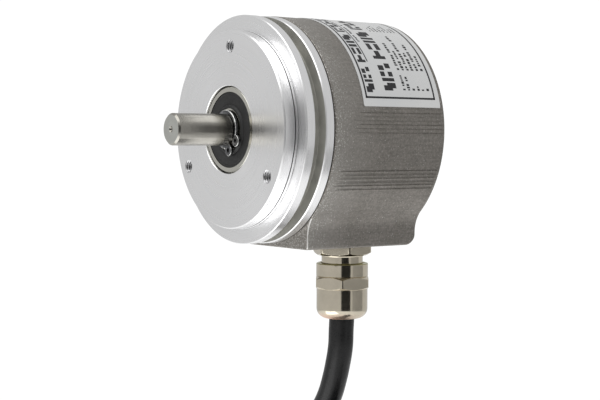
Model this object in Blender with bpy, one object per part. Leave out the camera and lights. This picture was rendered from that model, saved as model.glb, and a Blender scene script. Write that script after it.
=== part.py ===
"""Rotary shaft encoder with a 58 mm servo flange, a die-cast housing and a radial cable.

Row frame: the origin is the centre of the flange's front (pilot) face, on the shaft's
axis. The shaft points along -Y, the housing runs along +Y and the cable leaves along -Z.
Lengths below are in millimetres and are turned into metres by MM.
"""
import math

import bmesh
import bpy
from mathutils import Matrix, Vector

MM = 0.001

# Flange: a turned disc with a pilot, a servo groove and a bearing boss behind it.
FLANGE_R = 29.0
PILOT_R = 25.0
PILOT_H = 3.55
GROOVE_R = 26.0
EDGE_BREAK = 0.25
GROOVE_FRONT = 6.1
GROOVE_BACK = 9.35
FLANGE_BACK = 11.8
SPIGOT_R = 26.3
SPIGOT_BACK = 16.5
SEAL_GROOVE_R = 24.7
SEAL_GROOVE_MID = 14.2
SEAL_GROOVE_HALF = 1.0
BOSS_R = 13.0
BOSS_BACK = 21.5
BEARING_SEAT_R = 11.1
CIRCLIP_GROOVE_R = 11.7
CIRCLIP_GROOVE_FRONT = 19.5
CIRCLIP_GROOVE_BACK = 20.9
LIP_R = 9.3
LIP_FRONT = 7.7
LIP_BACK = 10.8
BOLT_CIRCLE_R = 21.0
BOLT_CORE_R = 1.65
BOLT_DEPTH = 8.0
# The bolt circle sits a little turned against the housing's foot.
FLANGE_TURN_DEG = -3.07

# Shaft, 8 mm, standing 20 mm out of the mounting step.
SHAFT_R = 4.0
SHAFT_TIP = -16.5
SHAFT_BACK = 29.4
SHAFT_CHAMFER = 0.46
CENTRE_DRILL_R = 0.7
CLIP_GROOVE_R = 3.65
CLIP_FRONT = -0.7
CLIP_BACK = 0.1
CLIP_INNER_R = 3.85
CLIP_OUTER_R = 5.0
CLIP_GAP_DEG = -54.0
CLIP_OPENING_DEG = 14
EAR_CIRCLE_R = 5.3
EAR_SIDE_DEG = 22.3
EAR_R = 1.45
EYE_R = 0.6

# Two 608 ball bearings, 8 x 22 x 7.
BEARING_W = 7.0
FRONT_BEARING = 0.4
REAR_BEARING = 11.1
OUTER_RING_R = 10.9
INNER_RING_BORE = 4.2
BALL_R = 1.984
BALL_PITCH_R = 7.5
RACEWAY_R = 2.15
BALLS = 7
INNER_SHOULDER_R = 5.9
OUTER_SHOULDER_R = 9.75
SHOULDER_DEPTH = 1.0
OUTER_RACE_EDGE = 1.49
INNER_RACE_EDGE = 1.55
SEAL_INNER_R = 6.3
SEAL_OUTER_R = 9.5
SEAL_FRONT = 0.65
SEAL_BACK = 1.15
CAGE_INNER_R = 6.45
CAGE_OUTER_R = 8.65
CAGE_RING_FRONT = 2.2
CAGE_RING_BACK = 2.8
FINGER_INNER_R = 6.7
FINGER_OUTER_R = 8.3
FINGER_HALF_WIDTH = 0.95
FINGER_REACH = 1.0

# Behind the rear bearing: a wave spring and the ring that holds it in the bore.
SPRING_INNER_R = 8.4
SPRING_OUTER_R = 10.5
SPRING_MID = 18.7
SPRING_THICK = 0.25
SPRING_RISE = 0.2
SPRING_WAVES = 3
CIRCLIP_INNER_R = 9.7
CIRCLIP_OUTER_R = 11.4
CIRCLIP_FRONT = 19.8
CIRCLIP_BACK = 20.6
CIRCLIP_START_DEG = -78
CIRCLIP_END_DEG = 258

# Housing: a cast cup, round with a flat foot for the cable gland.
HOUSING_R = 29.0
HOUSING_FRONT = 12.1
HOUSING_BACK = 47.3
HOUSING_BORE = 26.6
CAVITY_BACK = 44.6
FOOT_HALF = 17.65
FOOT_BOTTOM = -29.85
FOOT_FILLET = 8.0
FOOT_CORNER = 0.6
LABEL_START_DEG = 11.4
LABEL_END_DEG = 135.0
LABEL_FRONT = 21.2
LABEL_BACK = 46.0
LABEL_UNDERSIDE = 0.22
LABEL_OUTSIDE = 0.42
O_RING_R = 25.5
O_RING_CORD_R = 0.55

# Cable gland: a hexagon body with a threaded stem, and a cap nut with a hexagon collar.
GLAND_Y = 36.7
HEX_FLATS = 14.0
BODY_HEX_DEG = -22.4
COLLAR_HEX_DEG = -37.0
BODY_UNDERSIDE = -33.2
STEM_R = 5.55
FOOT_THREAD_R = 5.9
FOOT_THREAD_TOP = -23.5
STEM_BOTTOM = -41.0
CLAW_BORE_R = 4.8
CABLE_BORE_R = 3.3
BORE_STEP = -36.0
CAP_R = 6.97
CAP_TOP = -35.3
CAP_SKIRT_R = 6.87
CAP_BOTTOM = -50.2
CAP_MOUTH_R = 3.75
CAP_BORE_R = 5.9
CAP_BORE_BOTTOM = -47.2
COLLAR_TOP = -39.0
COLLAR_BOTTOM = -42.1
GLAND_POCKET_R = 7.6
GLAND_POCKET_TOP = -28.9
GLAND_HOLE_R = 6.2
GLAND_HOLE_TOP = -24.0
SEAL_RING_INNER_R = 6.45
SEAL_RING_OUTER_R = 7.3
GROMMET_BOTTOM = -46.5
CLAW_OUTER_R = 5.6
CLAW_BOTTOM = -46.8

# Pillars carry the sensor board and take the housing's screws.
PILLAR_CIRCLE_R = 21.5
PILLAR_ANGLES = (90, 210, 330)
PILLAR_FLATS = 5.0
PILLAR_BORE_R = 1.35
LOWER_STUD_R = 1.25
UPPER_STUD_R = 1.0
STUD_HOLE_R = 1.6
STUD_HOLE_FRONT = 12.5
SCREW_R = 1.0
SCREW_HEAD_R = 2.6
SCREW_FRONT = 39.5
SCREW_SEAT = 45.7
SCREW_HEAD_BACK = 47.2
SCREW_SOCKET_R = 1.15
SCREW_SOCKET_FRONT = 46.3
SCREW_HOLE_R = 1.5
SCREW_HEAD_HOLE_R = 2.9
SCREW_HEAD_HOLE_FRONT = 45.4

# Sensor board with the light source in front of the disc and the reader behind it.
BOARD_FRONT = 30.9
BOARD_BACK = 32.5
BOARD_R = 24.6
TRACK_R = 15.6
LIGHT_BACK = 24.6
MASK_FRONT = 27.2
MASK_BACK = 27.8
READER_FRONT = 28.1
CONNECTOR_BACK = 38.6

# Code disc on a hub that a grub screw holds on the shaft.
HUB_BORE_R = 4.2
HUB_R = 9.0
HUB_NECK_R = 6.0
HUB_FRONT = 21.9
HUB_FLANGE_BACK = 25.3
HUB_BACK = 28.3
GRUB_Y = 23.6
GRUB_R = 1.15
GRUB_HOLE_R = 1.45
DISC_BORE_R = 6.3
DISC_R = 17.5
DISC_FRONT = 25.6
DISC_BACK = 26.6
CLAMP_BACK = 27.7

# Cable, 6.8 mm: down out of the gland, then wound in a round coil that hangs below it.
CABLE_R = 3.4
CABLE_EXIT_Z = -49.6
CABLE_ROUTE = (
    (0.0, CABLE_EXIT_Z), (-0.15, -51.5), (-0.33, -54.0), (-0.45, -57.0), (-0.9, -59.8),
    (-1.6, -62.4), (-2.4, -65.1), (-3.35, -67.7), (-4.7, -70.9), (-6.75, -74.3), (-9.7, -77.9),
    (-13.2, -81.6), (-17.2, -85.6), (-21.1, -89.5), (-24.8, -93.2),
)
INNER_LEAD_R = 2.8
COIL_X = 4.0
COIL_Z = -122.0
COIL_R = 35.0
COIL_BUNDLE_R = 9.2
COIL_STRAND_R = 5.8
TAIL_LEAVES_DEG = 215
TAIL_OFFSET_DEG = 304
TAIL_LENGTH = 45.0
TAIL_SAG = 0.004
LEADS_LENGTH = 26.0
LEADS_R = 2.6
TIE_DEG = 60
TIE_THICK = 1.2
TIE_HALF_WIDTH = 2.4

GAP = 0.3


def clear_scene():
    for thing in list(bpy.data.objects):
        bpy.data.objects.remove(thing, do_unlink=True)


def make_material(name, colour, roughness, metallic):
    finish = bpy.data.materials.new(name)
    finish.use_nodes = True
    shader = finish.node_tree.nodes["Principled BSDF"]
    shader.inputs["Base Color"].default_value = (*colour, 1.0)
    shader.inputs["Roughness"].default_value = roughness
    shader.inputs["Metallic"].default_value = metallic
    finish.diffuse_color = (*colour, 1.0)
    return finish


def make_materials():
    looks = {
        "turned_aluminium": ((0.82, 0.83, 0.84), 0.25, 1.0),
        "cast_housing": ((0.24, 0.24, 0.22), 0.55, 0.7),
        "ground_steel": ((0.62, 0.60, 0.56), 0.25, 1.0),
        "bearing_steel": ((0.66, 0.67, 0.68), 0.18, 1.0),
        "spring_steel": ((0.10, 0.10, 0.11), 0.35, 0.9),
        "seal_rubber": ((0.03, 0.03, 0.03), 0.6, 0.0),
        "nickel_brass": ((0.62, 0.58, 0.50), 0.22, 1.0),
        "label_film": ((0.72, 0.76, 0.80), 0.35, 0.0),
        "cable_jacket": ((0.02, 0.02, 0.022), 0.5, 0.0),
        "board_laminate": ((0.03, 0.20, 0.09), 0.45, 0.0),
        "black_plastic": ((0.04, 0.04, 0.045), 0.4, 0.0),
        "white_plastic": ((0.85, 0.85, 0.82), 0.4, 0.0),
        "cage_plastic": ((0.32, 0.22, 0.12), 0.5, 0.0),
        "disc_glass": ((0.60, 0.72, 0.78), 0.08, 0.0),
        "zinc_steel": ((0.70, 0.70, 0.68), 0.3, 1.0),
        "lead_wires": ((0.55, 0.30, 0.12), 0.45, 0.0),
    }
    return {name: make_material(name, *look) for name, look in looks.items()}


def place(bm, name, finish, parent=None):
    """Turn a bmesh into a named object, faces out, round faces smooth."""
    bmesh.ops.recalc_face_normals(bm, faces=bm.faces)
    mesh = bpy.data.meshes.new(name)
    bm.to_mesh(mesh)
    bm.free()
    mesh.shade_smooth()
    mesh.set_sharp_from_angle(angle=math.radians(35))
    thing = bpy.data.objects.new(name, mesh)
    bpy.context.scene.collection.objects.link(thing)
    if finish:
        mesh.materials.append(finish)
    thing.parent = parent
    return thing


def as_tool(thing):
    """A cutter or a boss to be joined is a guide, not a piece."""
    thing.hide_render = True
    thing.display_type = "WIRE"
    return thing


def combine(target, tool, operation):
    change = target.modifiers.new(tool.name, "BOOLEAN")
    change.operation = operation
    change.solver = "EXACT"
    change.object = as_tool(tool)
    return target


def turned(outline, segments, axis="Y", centre=(0.0, 0.0)):
    """A closed outline of (radius, height) points spun about an axis, in millimetres."""
    bm = bmesh.new()
    rings = []
    for radius, height in outline:
        ring = []
        for step in range(segments if radius > 0 else 1):
            turn = 2 * math.pi * step / segments
            across, up = radius * math.cos(turn), radius * math.sin(turn)
            if axis == "Y":
                point = (centre[0] + across, height, centre[1] + up)
            else:
                point = (centre[0] + across, centre[1] + up, height)
            ring.append(bm.verts.new(Vector(point) * MM))
        rings.append(ring)
    for ring, after in zip(rings, rings[1:] + rings[:1]):
        if len(ring) == 1 and len(after) == 1:
            continue
        for step in range(segments):
            following = (step + 1) % segments
            corners = [ring[step % len(ring)], after[step % len(after)],
                       after[following % len(after)], ring[following % len(ring)]]
            bm.faces.new(list(dict.fromkeys(corners)))
    return bm


def prism(outline, low, high, axis="Y"):
    """A flat outline pushed from low to high along an axis, in millimetres."""
    bm = bmesh.new()

    def point(pair, height):
        if axis == "Y":
            return Vector((pair[0], height, pair[1])) * MM
        return Vector((pair[0], pair[1], height)) * MM

    bottom = [bm.verts.new(point(pair, low)) for pair in outline]
    top = [bm.verts.new(point(pair, high)) for pair in outline]
    bm.faces.new(bottom)
    bm.faces.new(top)
    for step in range(len(outline)):
        after = (step + 1) % len(outline)
        bm.faces.new([bottom[step], bottom[after], top[after], top[step]])
    return bm


def box(low, high):
    bm = bmesh.new()
    bmesh.ops.create_cube(bm, size=1.0)
    size = [b - a for a, b in zip(low, high)]
    middle = [(a + b) / 2 for a, b in zip(low, high)]
    bmesh.ops.scale(bm, vec=Vector(size) * MM, verts=bm.verts)
    bmesh.ops.translate(bm, vec=Vector(middle) * MM, verts=bm.verts)
    return bm


def merge(shapes):
    """Several separate shapes in one bmesh, for a cutter that cuts them all."""
    whole = bmesh.new()
    for shape in shapes:
        bmesh.ops.recalc_face_normals(shape, faces=shape.faces)
        mesh = bpy.data.meshes.new("shape")
        shape.to_mesh(mesh)
        shape.free()
        whole.from_mesh(mesh)
        bpy.data.meshes.remove(mesh)
    return whole


def polar(radius, degrees, centre=(0.0, 0.0)):
    turn = math.radians(degrees)
    return centre[0] + radius * math.cos(turn), centre[1] + radius * math.sin(turn)


def arc(centre, radius, start, end, steps):
    return [polar(radius, start + (end - start) * k / steps, centre) for k in range(steps + 1)]


def hexagon(flats, corner_deg, centre=(0.0, 0.0)):
    corner_r = flats / 2 / math.cos(math.radians(30))
    return [polar(corner_r, corner_deg + 60 * k, centre) for k in range(6)]


def rod(radius, low, high, segments, axis="Y", centre=(0.0, 0.0)):
    return turned([(0, low), (radius, low), (radius, high), (0, high)], segments, axis, centre)


def tube(inner, outer, low, high, segments, axis="Y", centre=(0.0, 0.0)):
    outline = [(inner, low), (outer, low), (outer, high), (inner, high)]
    return turned(outline, segments, axis, centre)


# ---------------------------------------------------------------- stator

def flange_outline():
    groove_low = SEAL_GROOVE_MID - SEAL_GROOVE_HALF
    groove_high = SEAL_GROOVE_MID + SEAL_GROOVE_HALF
    return [
        (BEARING_SEAT_R, 0.0), (PILOT_R - EDGE_BREAK, 0.0), (PILOT_R, EDGE_BREAK),
        (PILOT_R, PILOT_H), (FLANGE_R - EDGE_BREAK, PILOT_H), (FLANGE_R, PILOT_H + EDGE_BREAK),
        (FLANGE_R, GROOVE_FRONT),
        (GROOVE_R, GROOVE_FRONT), (GROOVE_R, GROOVE_BACK), (FLANGE_R, GROOVE_BACK),
        (FLANGE_R, FLANGE_BACK), (SPIGOT_R, FLANGE_BACK), (SPIGOT_R, groove_low),
        (SEAL_GROOVE_R, groove_low), (SEAL_GROOVE_R, groove_high), (SPIGOT_R, groove_high),
        (SPIGOT_R, SPIGOT_BACK), (BOSS_R, SPIGOT_BACK), (BOSS_R, BOSS_BACK),
        (BEARING_SEAT_R, BOSS_BACK), (BEARING_SEAT_R, CIRCLIP_GROOVE_BACK),
        (CIRCLIP_GROOVE_R, CIRCLIP_GROOVE_BACK), (CIRCLIP_GROOVE_R, CIRCLIP_GROOVE_FRONT),
        (BEARING_SEAT_R, CIRCLIP_GROOVE_FRONT), (BEARING_SEAT_R, LIP_BACK), (LIP_R, LIP_BACK),
        (LIP_R, LIP_FRONT), (BEARING_SEAT_R, LIP_FRONT),
    ]


def front_flange(looks):
    flange = place(turned(flange_outline(), 56), "front_flange", looks["turned_aluminium"])
    bolts = [
        rod(BOLT_CORE_R, -1.0, BOLT_DEPTH, 12, "Y", polar(BOLT_CIRCLE_R, 90 + FLANGE_TURN_DEG + a))
        for a in (0, 120, 240)
    ]
    combine(flange, place(merge(bolts), "bolt_hole_cutter", None), "DIFFERENCE")
    studs = [
        rod(STUD_HOLE_R, STUD_HOLE_FRONT, SPIGOT_BACK + 1, 10, "Y", polar(PILLAR_CIRCLE_R, a))
        for a in PILLAR_ANGLES
    ]
    combine(flange, place(merge(studs), "pillar_hole_cutter", None), "DIFFERENCE")


def housing_outline():
    """Circle, concave fillets, straight foot sides and a flat bottom with rounded corners."""
    reach = FOOT_HALF + FOOT_FILLET
    fillet_z = -math.sqrt((HOUSING_R + FOOT_FILLET) ** 2 - reach**2)
    meets = math.degrees(math.atan2(fillet_z, reach))
    corner = (FOOT_HALF - FOOT_CORNER, FOOT_BOTTOM + FOOT_CORNER)
    right = arc(corner, FOOT_CORNER, -90, 0, 3)
    right += arc((reach, fillet_z), FOOT_FILLET, 180, 180 + meets, 5)
    right += arc((0, 0), HOUSING_R, meets, 90, 22)[1:]
    return right + [(-x, z) for x, z in reversed(right[:-1])]


def housing_cap(looks):
    body = prism(housing_outline(), HOUSING_FRONT, HOUSING_BACK)
    cap = place(body, "housing_cap", looks["cast_housing"])
    cavity = rod(HOUSING_BORE, HOUSING_FRONT - 2, CAVITY_BACK, 56)
    combine(cap, place(cavity, "cavity_cutter", None), "DIFFERENCE")
    holes = []
    for angle in PILLAR_ANGLES:
        spot = polar(PILLAR_CIRCLE_R, angle)
        steps = [(0, CAVITY_BACK - 1), (SCREW_HOLE_R, CAVITY_BACK - 1),
                 (SCREW_HOLE_R, SCREW_HEAD_HOLE_FRONT), (SCREW_HEAD_HOLE_R, SCREW_HEAD_HOLE_FRONT),
                 (SCREW_HEAD_HOLE_R, HOUSING_BACK + 1), (0, HOUSING_BACK + 1)]
        holes.append(turned(steps, 16, "Y", spot))
    combine(cap, place(merge(holes), "screw_hole_cutter", None), "DIFFERENCE")
    steps = [(0, FOOT_BOTTOM - 1), (GLAND_POCKET_R, FOOT_BOTTOM - 1),
             (GLAND_POCKET_R, GLAND_POCKET_TOP), (GLAND_HOLE_R, GLAND_POCKET_TOP),
             (GLAND_HOLE_R, GLAND_HOLE_TOP), (0, GLAND_HOLE_TOP)]
    gland_hole = turned(steps, 24, "Z", (0, GLAND_Y))
    combine(cap, place(gland_hole, "gland_hole_cutter", None), "DIFFERENCE")


def ring_of(radius, thickness, middle, segments, sides, axis="Y", centre=(0.0, 0.0)):
    outline = [polar(thickness, 360 * (k + 0.5) / sides, (radius, middle)) for k in range(sides)]
    return turned(outline, segments, axis, centre)


def seals_and_label(looks):
    o_ring = ring_of(O_RING_R, O_RING_CORD_R, SEAL_GROOVE_MID, 40, 6)
    place(o_ring, "housing_seal_ring", looks["seal_rubber"])
    steps = 24
    film = arc((0, 0), HOUSING_R + LABEL_UNDERSIDE, LABEL_START_DEG, LABEL_END_DEG, steps)
    film += reversed(arc((0, 0), HOUSING_R + LABEL_OUTSIDE, LABEL_START_DEG, LABEL_END_DEG, steps))
    place(prism(film, LABEL_FRONT, LABEL_BACK), "name_label", looks["label_film"])


def raceway(middle, outward):
    """Points of a ball groove, from its front edge to its back edge."""
    edge = OUTER_RACE_EDGE if outward else INNER_RACE_EDGE
    sign = 1 if outward else -1
    points = []
    for along in (-edge, -edge / 2, 0.0, edge / 2, edge):
        deep = math.sqrt(RACEWAY_R**2 - along**2)
        points.append((BALL_PITCH_R + sign * deep, middle + along))
    return points


def outer_ring(front):
    middle = front + BEARING_W / 2
    back = front + BEARING_W
    groove = raceway(middle, True)
    deep = SHOULDER_DEPTH
    return [
        (OUTER_RING_R - EDGE_BREAK, front), (OUTER_RING_R, front + EDGE_BREAK), (OUTER_RING_R, back),
        (OUTER_SHOULDER_R, back), (OUTER_SHOULDER_R, back - deep),
        (groove[-1][0], back - deep - 0.2), *reversed(groove),
        (groove[0][0], front + deep + 0.2), (OUTER_SHOULDER_R, front + deep),
        (OUTER_SHOULDER_R, front),
    ]


def inner_ring(front):
    middle = front + BEARING_W / 2
    groove = raceway(middle, False)
    return [(INNER_RING_BORE, front), (INNER_SHOULDER_R, front), *groove,
            (INNER_SHOULDER_R, front + BEARING_W), (INNER_RING_BORE, front + BEARING_W)]


def ball_cage(front):
    """A crown cage: a ring behind the balls with a finger between each two."""
    middle = front + BEARING_W / 2
    ring = tube(CAGE_INNER_R, CAGE_OUTER_R, middle + CAGE_RING_FRONT, middle + CAGE_RING_BACK, 28)
    fingers = []
    for ball in range(BALLS):
        finger = box((FINGER_INNER_R, middle - FINGER_REACH, -FINGER_HALF_WIDTH),
                     (FINGER_OUTER_R, middle + CAGE_RING_BACK - 0.3, FINGER_HALF_WIDTH))
        turn = Matrix.Rotation(-2 * math.pi * (ball + 0.5) / BALLS, 4, "Y")
        bmesh.ops.transform(finger, matrix=turn, verts=finger.verts)
        fingers.append(finger)
    return ring, merge(fingers)


def bearing(name, front, looks, turning, orbit):
    steel = looks["bearing_steel"]
    place(turned(outer_ring(front), 28), f"{name}_bearing_outer_ring", steel)
    place(turned(inner_ring(front), 24), f"{name}_bearing_inner_ring", steel, turning)
    ring, fingers = ball_cage(front)
    cage = place(ring, f"{name}_ball_cage", looks["cage_plastic"], orbit)
    combine(cage, place(fingers, f"{name}_cage_fingers", None), "UNION")
    for ball in range(BALLS):
        turn = 360 * ball / BALLS
        across, up = polar(BALL_PITCH_R, turn)
        bm = bmesh.new()
        bmesh.ops.create_uvsphere(bm, u_segments=7, v_segments=5, radius=BALL_R * MM)
        spot = Vector((across, front + BEARING_W / 2, up)) * MM
        bmesh.ops.translate(bm, vec=spot, verts=bm.verts)
        place(bm, f"{name}_ball_{ball + 1}", steel, orbit)


def bearing_fittings(looks, turning):
    seal = tube(SEAL_INNER_R, SEAL_OUTER_R, SEAL_FRONT, SEAL_BACK, 32)
    place(seal, "front_bearing_seal", looks["seal_rubber"])
    place(tube(INNER_RING_BORE, INNER_SHOULDER_R, LIP_FRONT, LIP_BACK, 20), "bearing_spacer",
          looks["zinc_steel"], turning)
    clip = arc((0, 0), CIRCLIP_OUTER_R, CIRCLIP_START_DEG, CIRCLIP_END_DEG, 28)
    clip += reversed(arc((0, 0), CIRCLIP_INNER_R, CIRCLIP_START_DEG, CIRCLIP_END_DEG, 28))
    place(prism(clip, CIRCLIP_FRONT, CIRCLIP_BACK), "bore_retaining_ring", looks["spring_steel"])
    wave_spring(looks)


def wave_spring(looks):
    """A flat washer bent in three waves, pressing on the rear bearing."""
    segments = 36
    bm = bmesh.new()
    loops = []
    for radius, lift in ((SPRING_INNER_R, 0), (SPRING_OUTER_R, 0),
                         (SPRING_OUTER_R, SPRING_THICK), (SPRING_INNER_R, SPRING_THICK)):
        loop = []
        for step in range(segments):
            turn = 2 * math.pi * step / segments
            height = SPRING_MID + lift + SPRING_RISE * math.sin(SPRING_WAVES * turn)
            point = Vector((radius * math.cos(turn), height, radius * math.sin(turn)))
            loop.append(bm.verts.new(point * MM))
        loops.append(loop)
    for loop, after in zip(loops, loops[1:] + loops[:1]):
        for step in range(segments):
            following = (step + 1) % segments
            bm.faces.new([loop[step], after[step], after[following], loop[following]])
    place(bm, "preload_spring", looks["spring_steel"])


def pillars_and_screws(looks):
    for number, angle in enumerate(PILLAR_ANGLES, 1):
        spot = polar(PILLAR_CIRCLE_R, angle)
        outline = hexagon(PILLAR_FLATS, angle, spot)
        low = place(prism(outline, SPIGOT_BACK + GAP, BOARD_FRONT - GAP), f"lower_pillar_{number}",
                    looks["zinc_steel"])
        stud = place(rod(LOWER_STUD_R, STUD_HOLE_FRONT + 0.5, SPIGOT_BACK + 1.5, 10, "Y", spot),
                     f"lower_stud_{number}", None)
        combine(low, stud, "UNION")
        bore = place(rod(PILLAR_BORE_R, BOARD_FRONT - 6.9, BOARD_FRONT + 0.6, 10, "Y", spot),
                     f"lower_bore_{number}", None)
        combine(low, bore, "DIFFERENCE")
        high = place(prism(outline, BOARD_BACK + GAP, CAVITY_BACK - GAP), f"upper_pillar_{number}",
                     looks["zinc_steel"])
        stud = place(rod(UPPER_STUD_R, BOARD_FRONT - 4.9, BOARD_BACK + 1.5, 10, "Y", spot),
                     f"upper_stud_{number}", None)
        combine(high, stud, "UNION")
        bore = place(rod(PILLAR_BORE_R, SCREW_FRONT - 1, CAVITY_BACK + 0.4, 10, "Y", spot),
                     f"upper_bore_{number}", None)
        combine(high, bore, "DIFFERENCE")
        screw = [(0, SCREW_FRONT), (SCREW_R, SCREW_FRONT), (SCREW_R, SCREW_SEAT),
                 (SCREW_HEAD_R, SCREW_SEAT), (SCREW_HEAD_R, SCREW_HEAD_BACK),
                 (SCREW_SOCKET_R, SCREW_HEAD_BACK), (SCREW_SOCKET_R, SCREW_SOCKET_FRONT),
                 (0, SCREW_SOCKET_FRONT)]
        place(turned(screw, 12, "Y", spot), f"housing_screw_{number}", looks["zinc_steel"])


def electronics(looks):
    board = place(rod(BOARD_R, BOARD_FRONT, BOARD_BACK, 40), "sensor_board",
                  looks["board_laminate"])
    low, high = BOARD_FRONT - 1, BOARD_BACK + 1
    holes = [rod(SCREW_HOLE_R, low, high, 10, "Y", polar(PILLAR_CIRCLE_R, a))
             for a in PILLAR_ANGLES]
    notch = box((-9, low, -BOARD_R - 1.4), (9, high, -20))
    combine(board, place(merge([*holes, notch]), "board_cutter", None), "DIFFERENCE")
    place(box((TRACK_R - 2.2, SPIGOT_BACK + GAP, -3.0), (TRACK_R + 2.2, LIGHT_BACK, 3.0)),
          "light_source", looks["black_plastic"])
    place(box((TRACK_R - 3.0, MASK_FRONT, -4.0), (TRACK_R + 3.0, MASK_BACK, 4.0)),
          "reading_mask", looks["disc_glass"])
    place(box((TRACK_R - 3.6, READER_FRONT, -4.5), (TRACK_R + 3.6, BOARD_FRONT - GAP, 4.5)),
          "photo_sensor", looks["black_plastic"])
    place(box((-6.0, BOARD_BACK + GAP, -13.0), (6.0, CONNECTOR_BACK, -8.0)), "lead_connector",
          looks["white_plastic"])


def gland(looks):
    centre = (0.0, GLAND_Y)
    body = prism(hexagon(HEX_FLATS, BODY_HEX_DEG, centre), BODY_UNDERSIDE, FOOT_BOTTOM - GAP, "Z")
    hexed = place(body, "gland_body", looks["nickel_brass"])
    stem = [(0, STEM_BOTTOM), (STEM_R, STEM_BOTTOM), (STEM_R, BODY_UNDERSIDE + 1),
            (FOOT_THREAD_R, BODY_UNDERSIDE + 1), (FOOT_THREAD_R, FOOT_THREAD_TOP),
            (0, FOOT_THREAD_TOP)]
    combine(hexed, place(turned(stem, 24, "Z", centre), "gland_stem", None), "UNION")
    bore = [(0, STEM_BOTTOM - 1), (CLAW_BORE_R, STEM_BOTTOM - 1), (CLAW_BORE_R, BORE_STEP),
            (CABLE_BORE_R, BORE_STEP), (CABLE_BORE_R, FOOT_THREAD_TOP + 1),
            (0, FOOT_THREAD_TOP + 1)]
    combine(hexed, place(turned(bore, 20, "Z", centre), "gland_bore", None), "DIFFERENCE")

    collar_mid = (COLLAR_TOP + COLLAR_BOTTOM) / 2
    cap = [(CAP_BORE_R, CAP_TOP), (CAP_R - EDGE_BREAK, CAP_TOP), (CAP_R, CAP_TOP - EDGE_BREAK),
           (CAP_R, collar_mid), (CAP_SKIRT_R, collar_mid), (CAP_SKIRT_R, CAP_BOTTOM + 2.8),
           (6.5, CAP_BOTTOM + 1.5), (5.6, CAP_BOTTOM + 0.6), (4.4, CAP_BOTTOM),
           (CAP_MOUTH_R, CAP_BOTTOM), (CAP_MOUTH_R, CAP_BORE_BOTTOM - 1),
           (CAP_BORE_R, CAP_BORE_BOTTOM)]
    nut = place(turned(cap, 28, "Z", centre), "gland_cap_nut", looks["nickel_brass"])
    collar_shape = prism(hexagon(HEX_FLATS, COLLAR_HEX_DEG, centre), COLLAR_BOTTOM, COLLAR_TOP, "Z")
    collar = place(collar_shape, "gland_collar", None)
    hollow = place(rod(CAP_BORE_R + 0.3, COLLAR_BOTTOM - 1, COLLAR_TOP + 1, 28, "Z", centre),
                   "gland_collar_bore", None)
    combine(collar, hollow, "DIFFERENCE")
    combine(nut, collar, "UNION")

    place(tube(SEAL_RING_INNER_R, SEAL_RING_OUTER_R, FOOT_BOTTOM + 0.1, GLAND_POCKET_TOP - GAP,
               24, "Z", centre), "gland_seal_ring", looks["seal_rubber"])
    place(tube(INNER_LEAD_R + 0.4, CLAW_BORE_R - GAP, GROMMET_BOTTOM, BORE_STEP - GAP, 16, "Z", centre),
          "gland_grommet", looks["seal_rubber"])
    place(tube(CLAW_BORE_R, CLAW_OUTER_R, CLAW_BOTTOM, STEM_BOTTOM - GAP, 16, "Z", centre), "gland_claw",
          looks["black_plastic"])


# ---------------------------------------------------------------- rotor

def retaining_clip(looks, turning):
    """An external retaining ring: a split band with two eyes beside the gap."""
    start = CLIP_GAP_DEG + CLIP_OPENING_DEG
    end = CLIP_GAP_DEG + 360 - CLIP_OPENING_DEG
    band = arc((0, 0), CLIP_OUTER_R, start, end, 30)
    band += reversed(arc((0, 0), CLIP_INNER_R, start, end, 30))
    clip = place(prism(band, CLIP_FRONT, CLIP_BACK), "shaft_retaining_ring",
                 looks["spring_steel"], turning)
    ears, eyes = [], []
    for side in (-EAR_SIDE_DEG, EAR_SIDE_DEG):
        spot = polar(EAR_CIRCLE_R, CLIP_GAP_DEG + side)
        ears.append(rod(EAR_R, CLIP_FRONT, CLIP_BACK, 14, "Y", spot))
        eyes.append(rod(EYE_R, CLIP_FRONT - 1, CLIP_BACK + 1, 8, "Y", spot))
    combine(clip, place(merge(ears), "clip_ears", None), "UNION")
    combine(clip, place(merge(eyes), "clip_eyes", None), "DIFFERENCE")


def shaft_group(looks, turning):
    outline = [
        (0, SHAFT_TIP + CENTRE_DRILL_R), (CENTRE_DRILL_R, SHAFT_TIP),
        (SHAFT_R - SHAFT_CHAMFER, SHAFT_TIP),
        (SHAFT_R, SHAFT_TIP + SHAFT_CHAMFER), (SHAFT_R, CLIP_FRONT - 0.2),
        (CLIP_GROOVE_R, CLIP_FRONT - 0.2), (CLIP_GROOVE_R, CLIP_BACK + 0.2),
        (SHAFT_R, CLIP_BACK + 0.2), (SHAFT_R, SHAFT_BACK), (0, SHAFT_BACK),
    ]
    place(turned(outline, 32), "shaft", looks["ground_steel"], turning)
    hub = [(HUB_BORE_R, HUB_FRONT), (HUB_R, HUB_FRONT), (HUB_R, HUB_FLANGE_BACK),
           (HUB_NECK_R, HUB_FLANGE_BACK), (HUB_NECK_R, HUB_BACK), (HUB_BORE_R, HUB_BACK)]
    body = place(turned(hub, 28), "disc_hub", looks["turned_aluminium"], turning)
    grub_spot = (0.0, GRUB_Y)
    grub_hole = place(rod(GRUB_HOLE_R, 2.0, 12.0, 10, "Z", grub_spot), "grub_hole", None)
    combine(body, grub_hole, "DIFFERENCE")
    grub = rod(GRUB_R, HUB_BORE_R + 0.1, HUB_R - 0.4, 10, "Z", grub_spot)
    place(grub, "hub_grub_screw", looks["spring_steel"], turning)
    place(tube(DISC_BORE_R, DISC_R, DISC_FRONT, DISC_BACK, 48), "code_disc", looks["disc_glass"],
          turning)
    place(tube(DISC_BORE_R, HUB_R, DISC_BACK + GAP, CLAMP_BACK, 24), "disc_clamp_ring",
          looks["turned_aluminium"], turning)


# ---------------------------------------------------------------- cable

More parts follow.
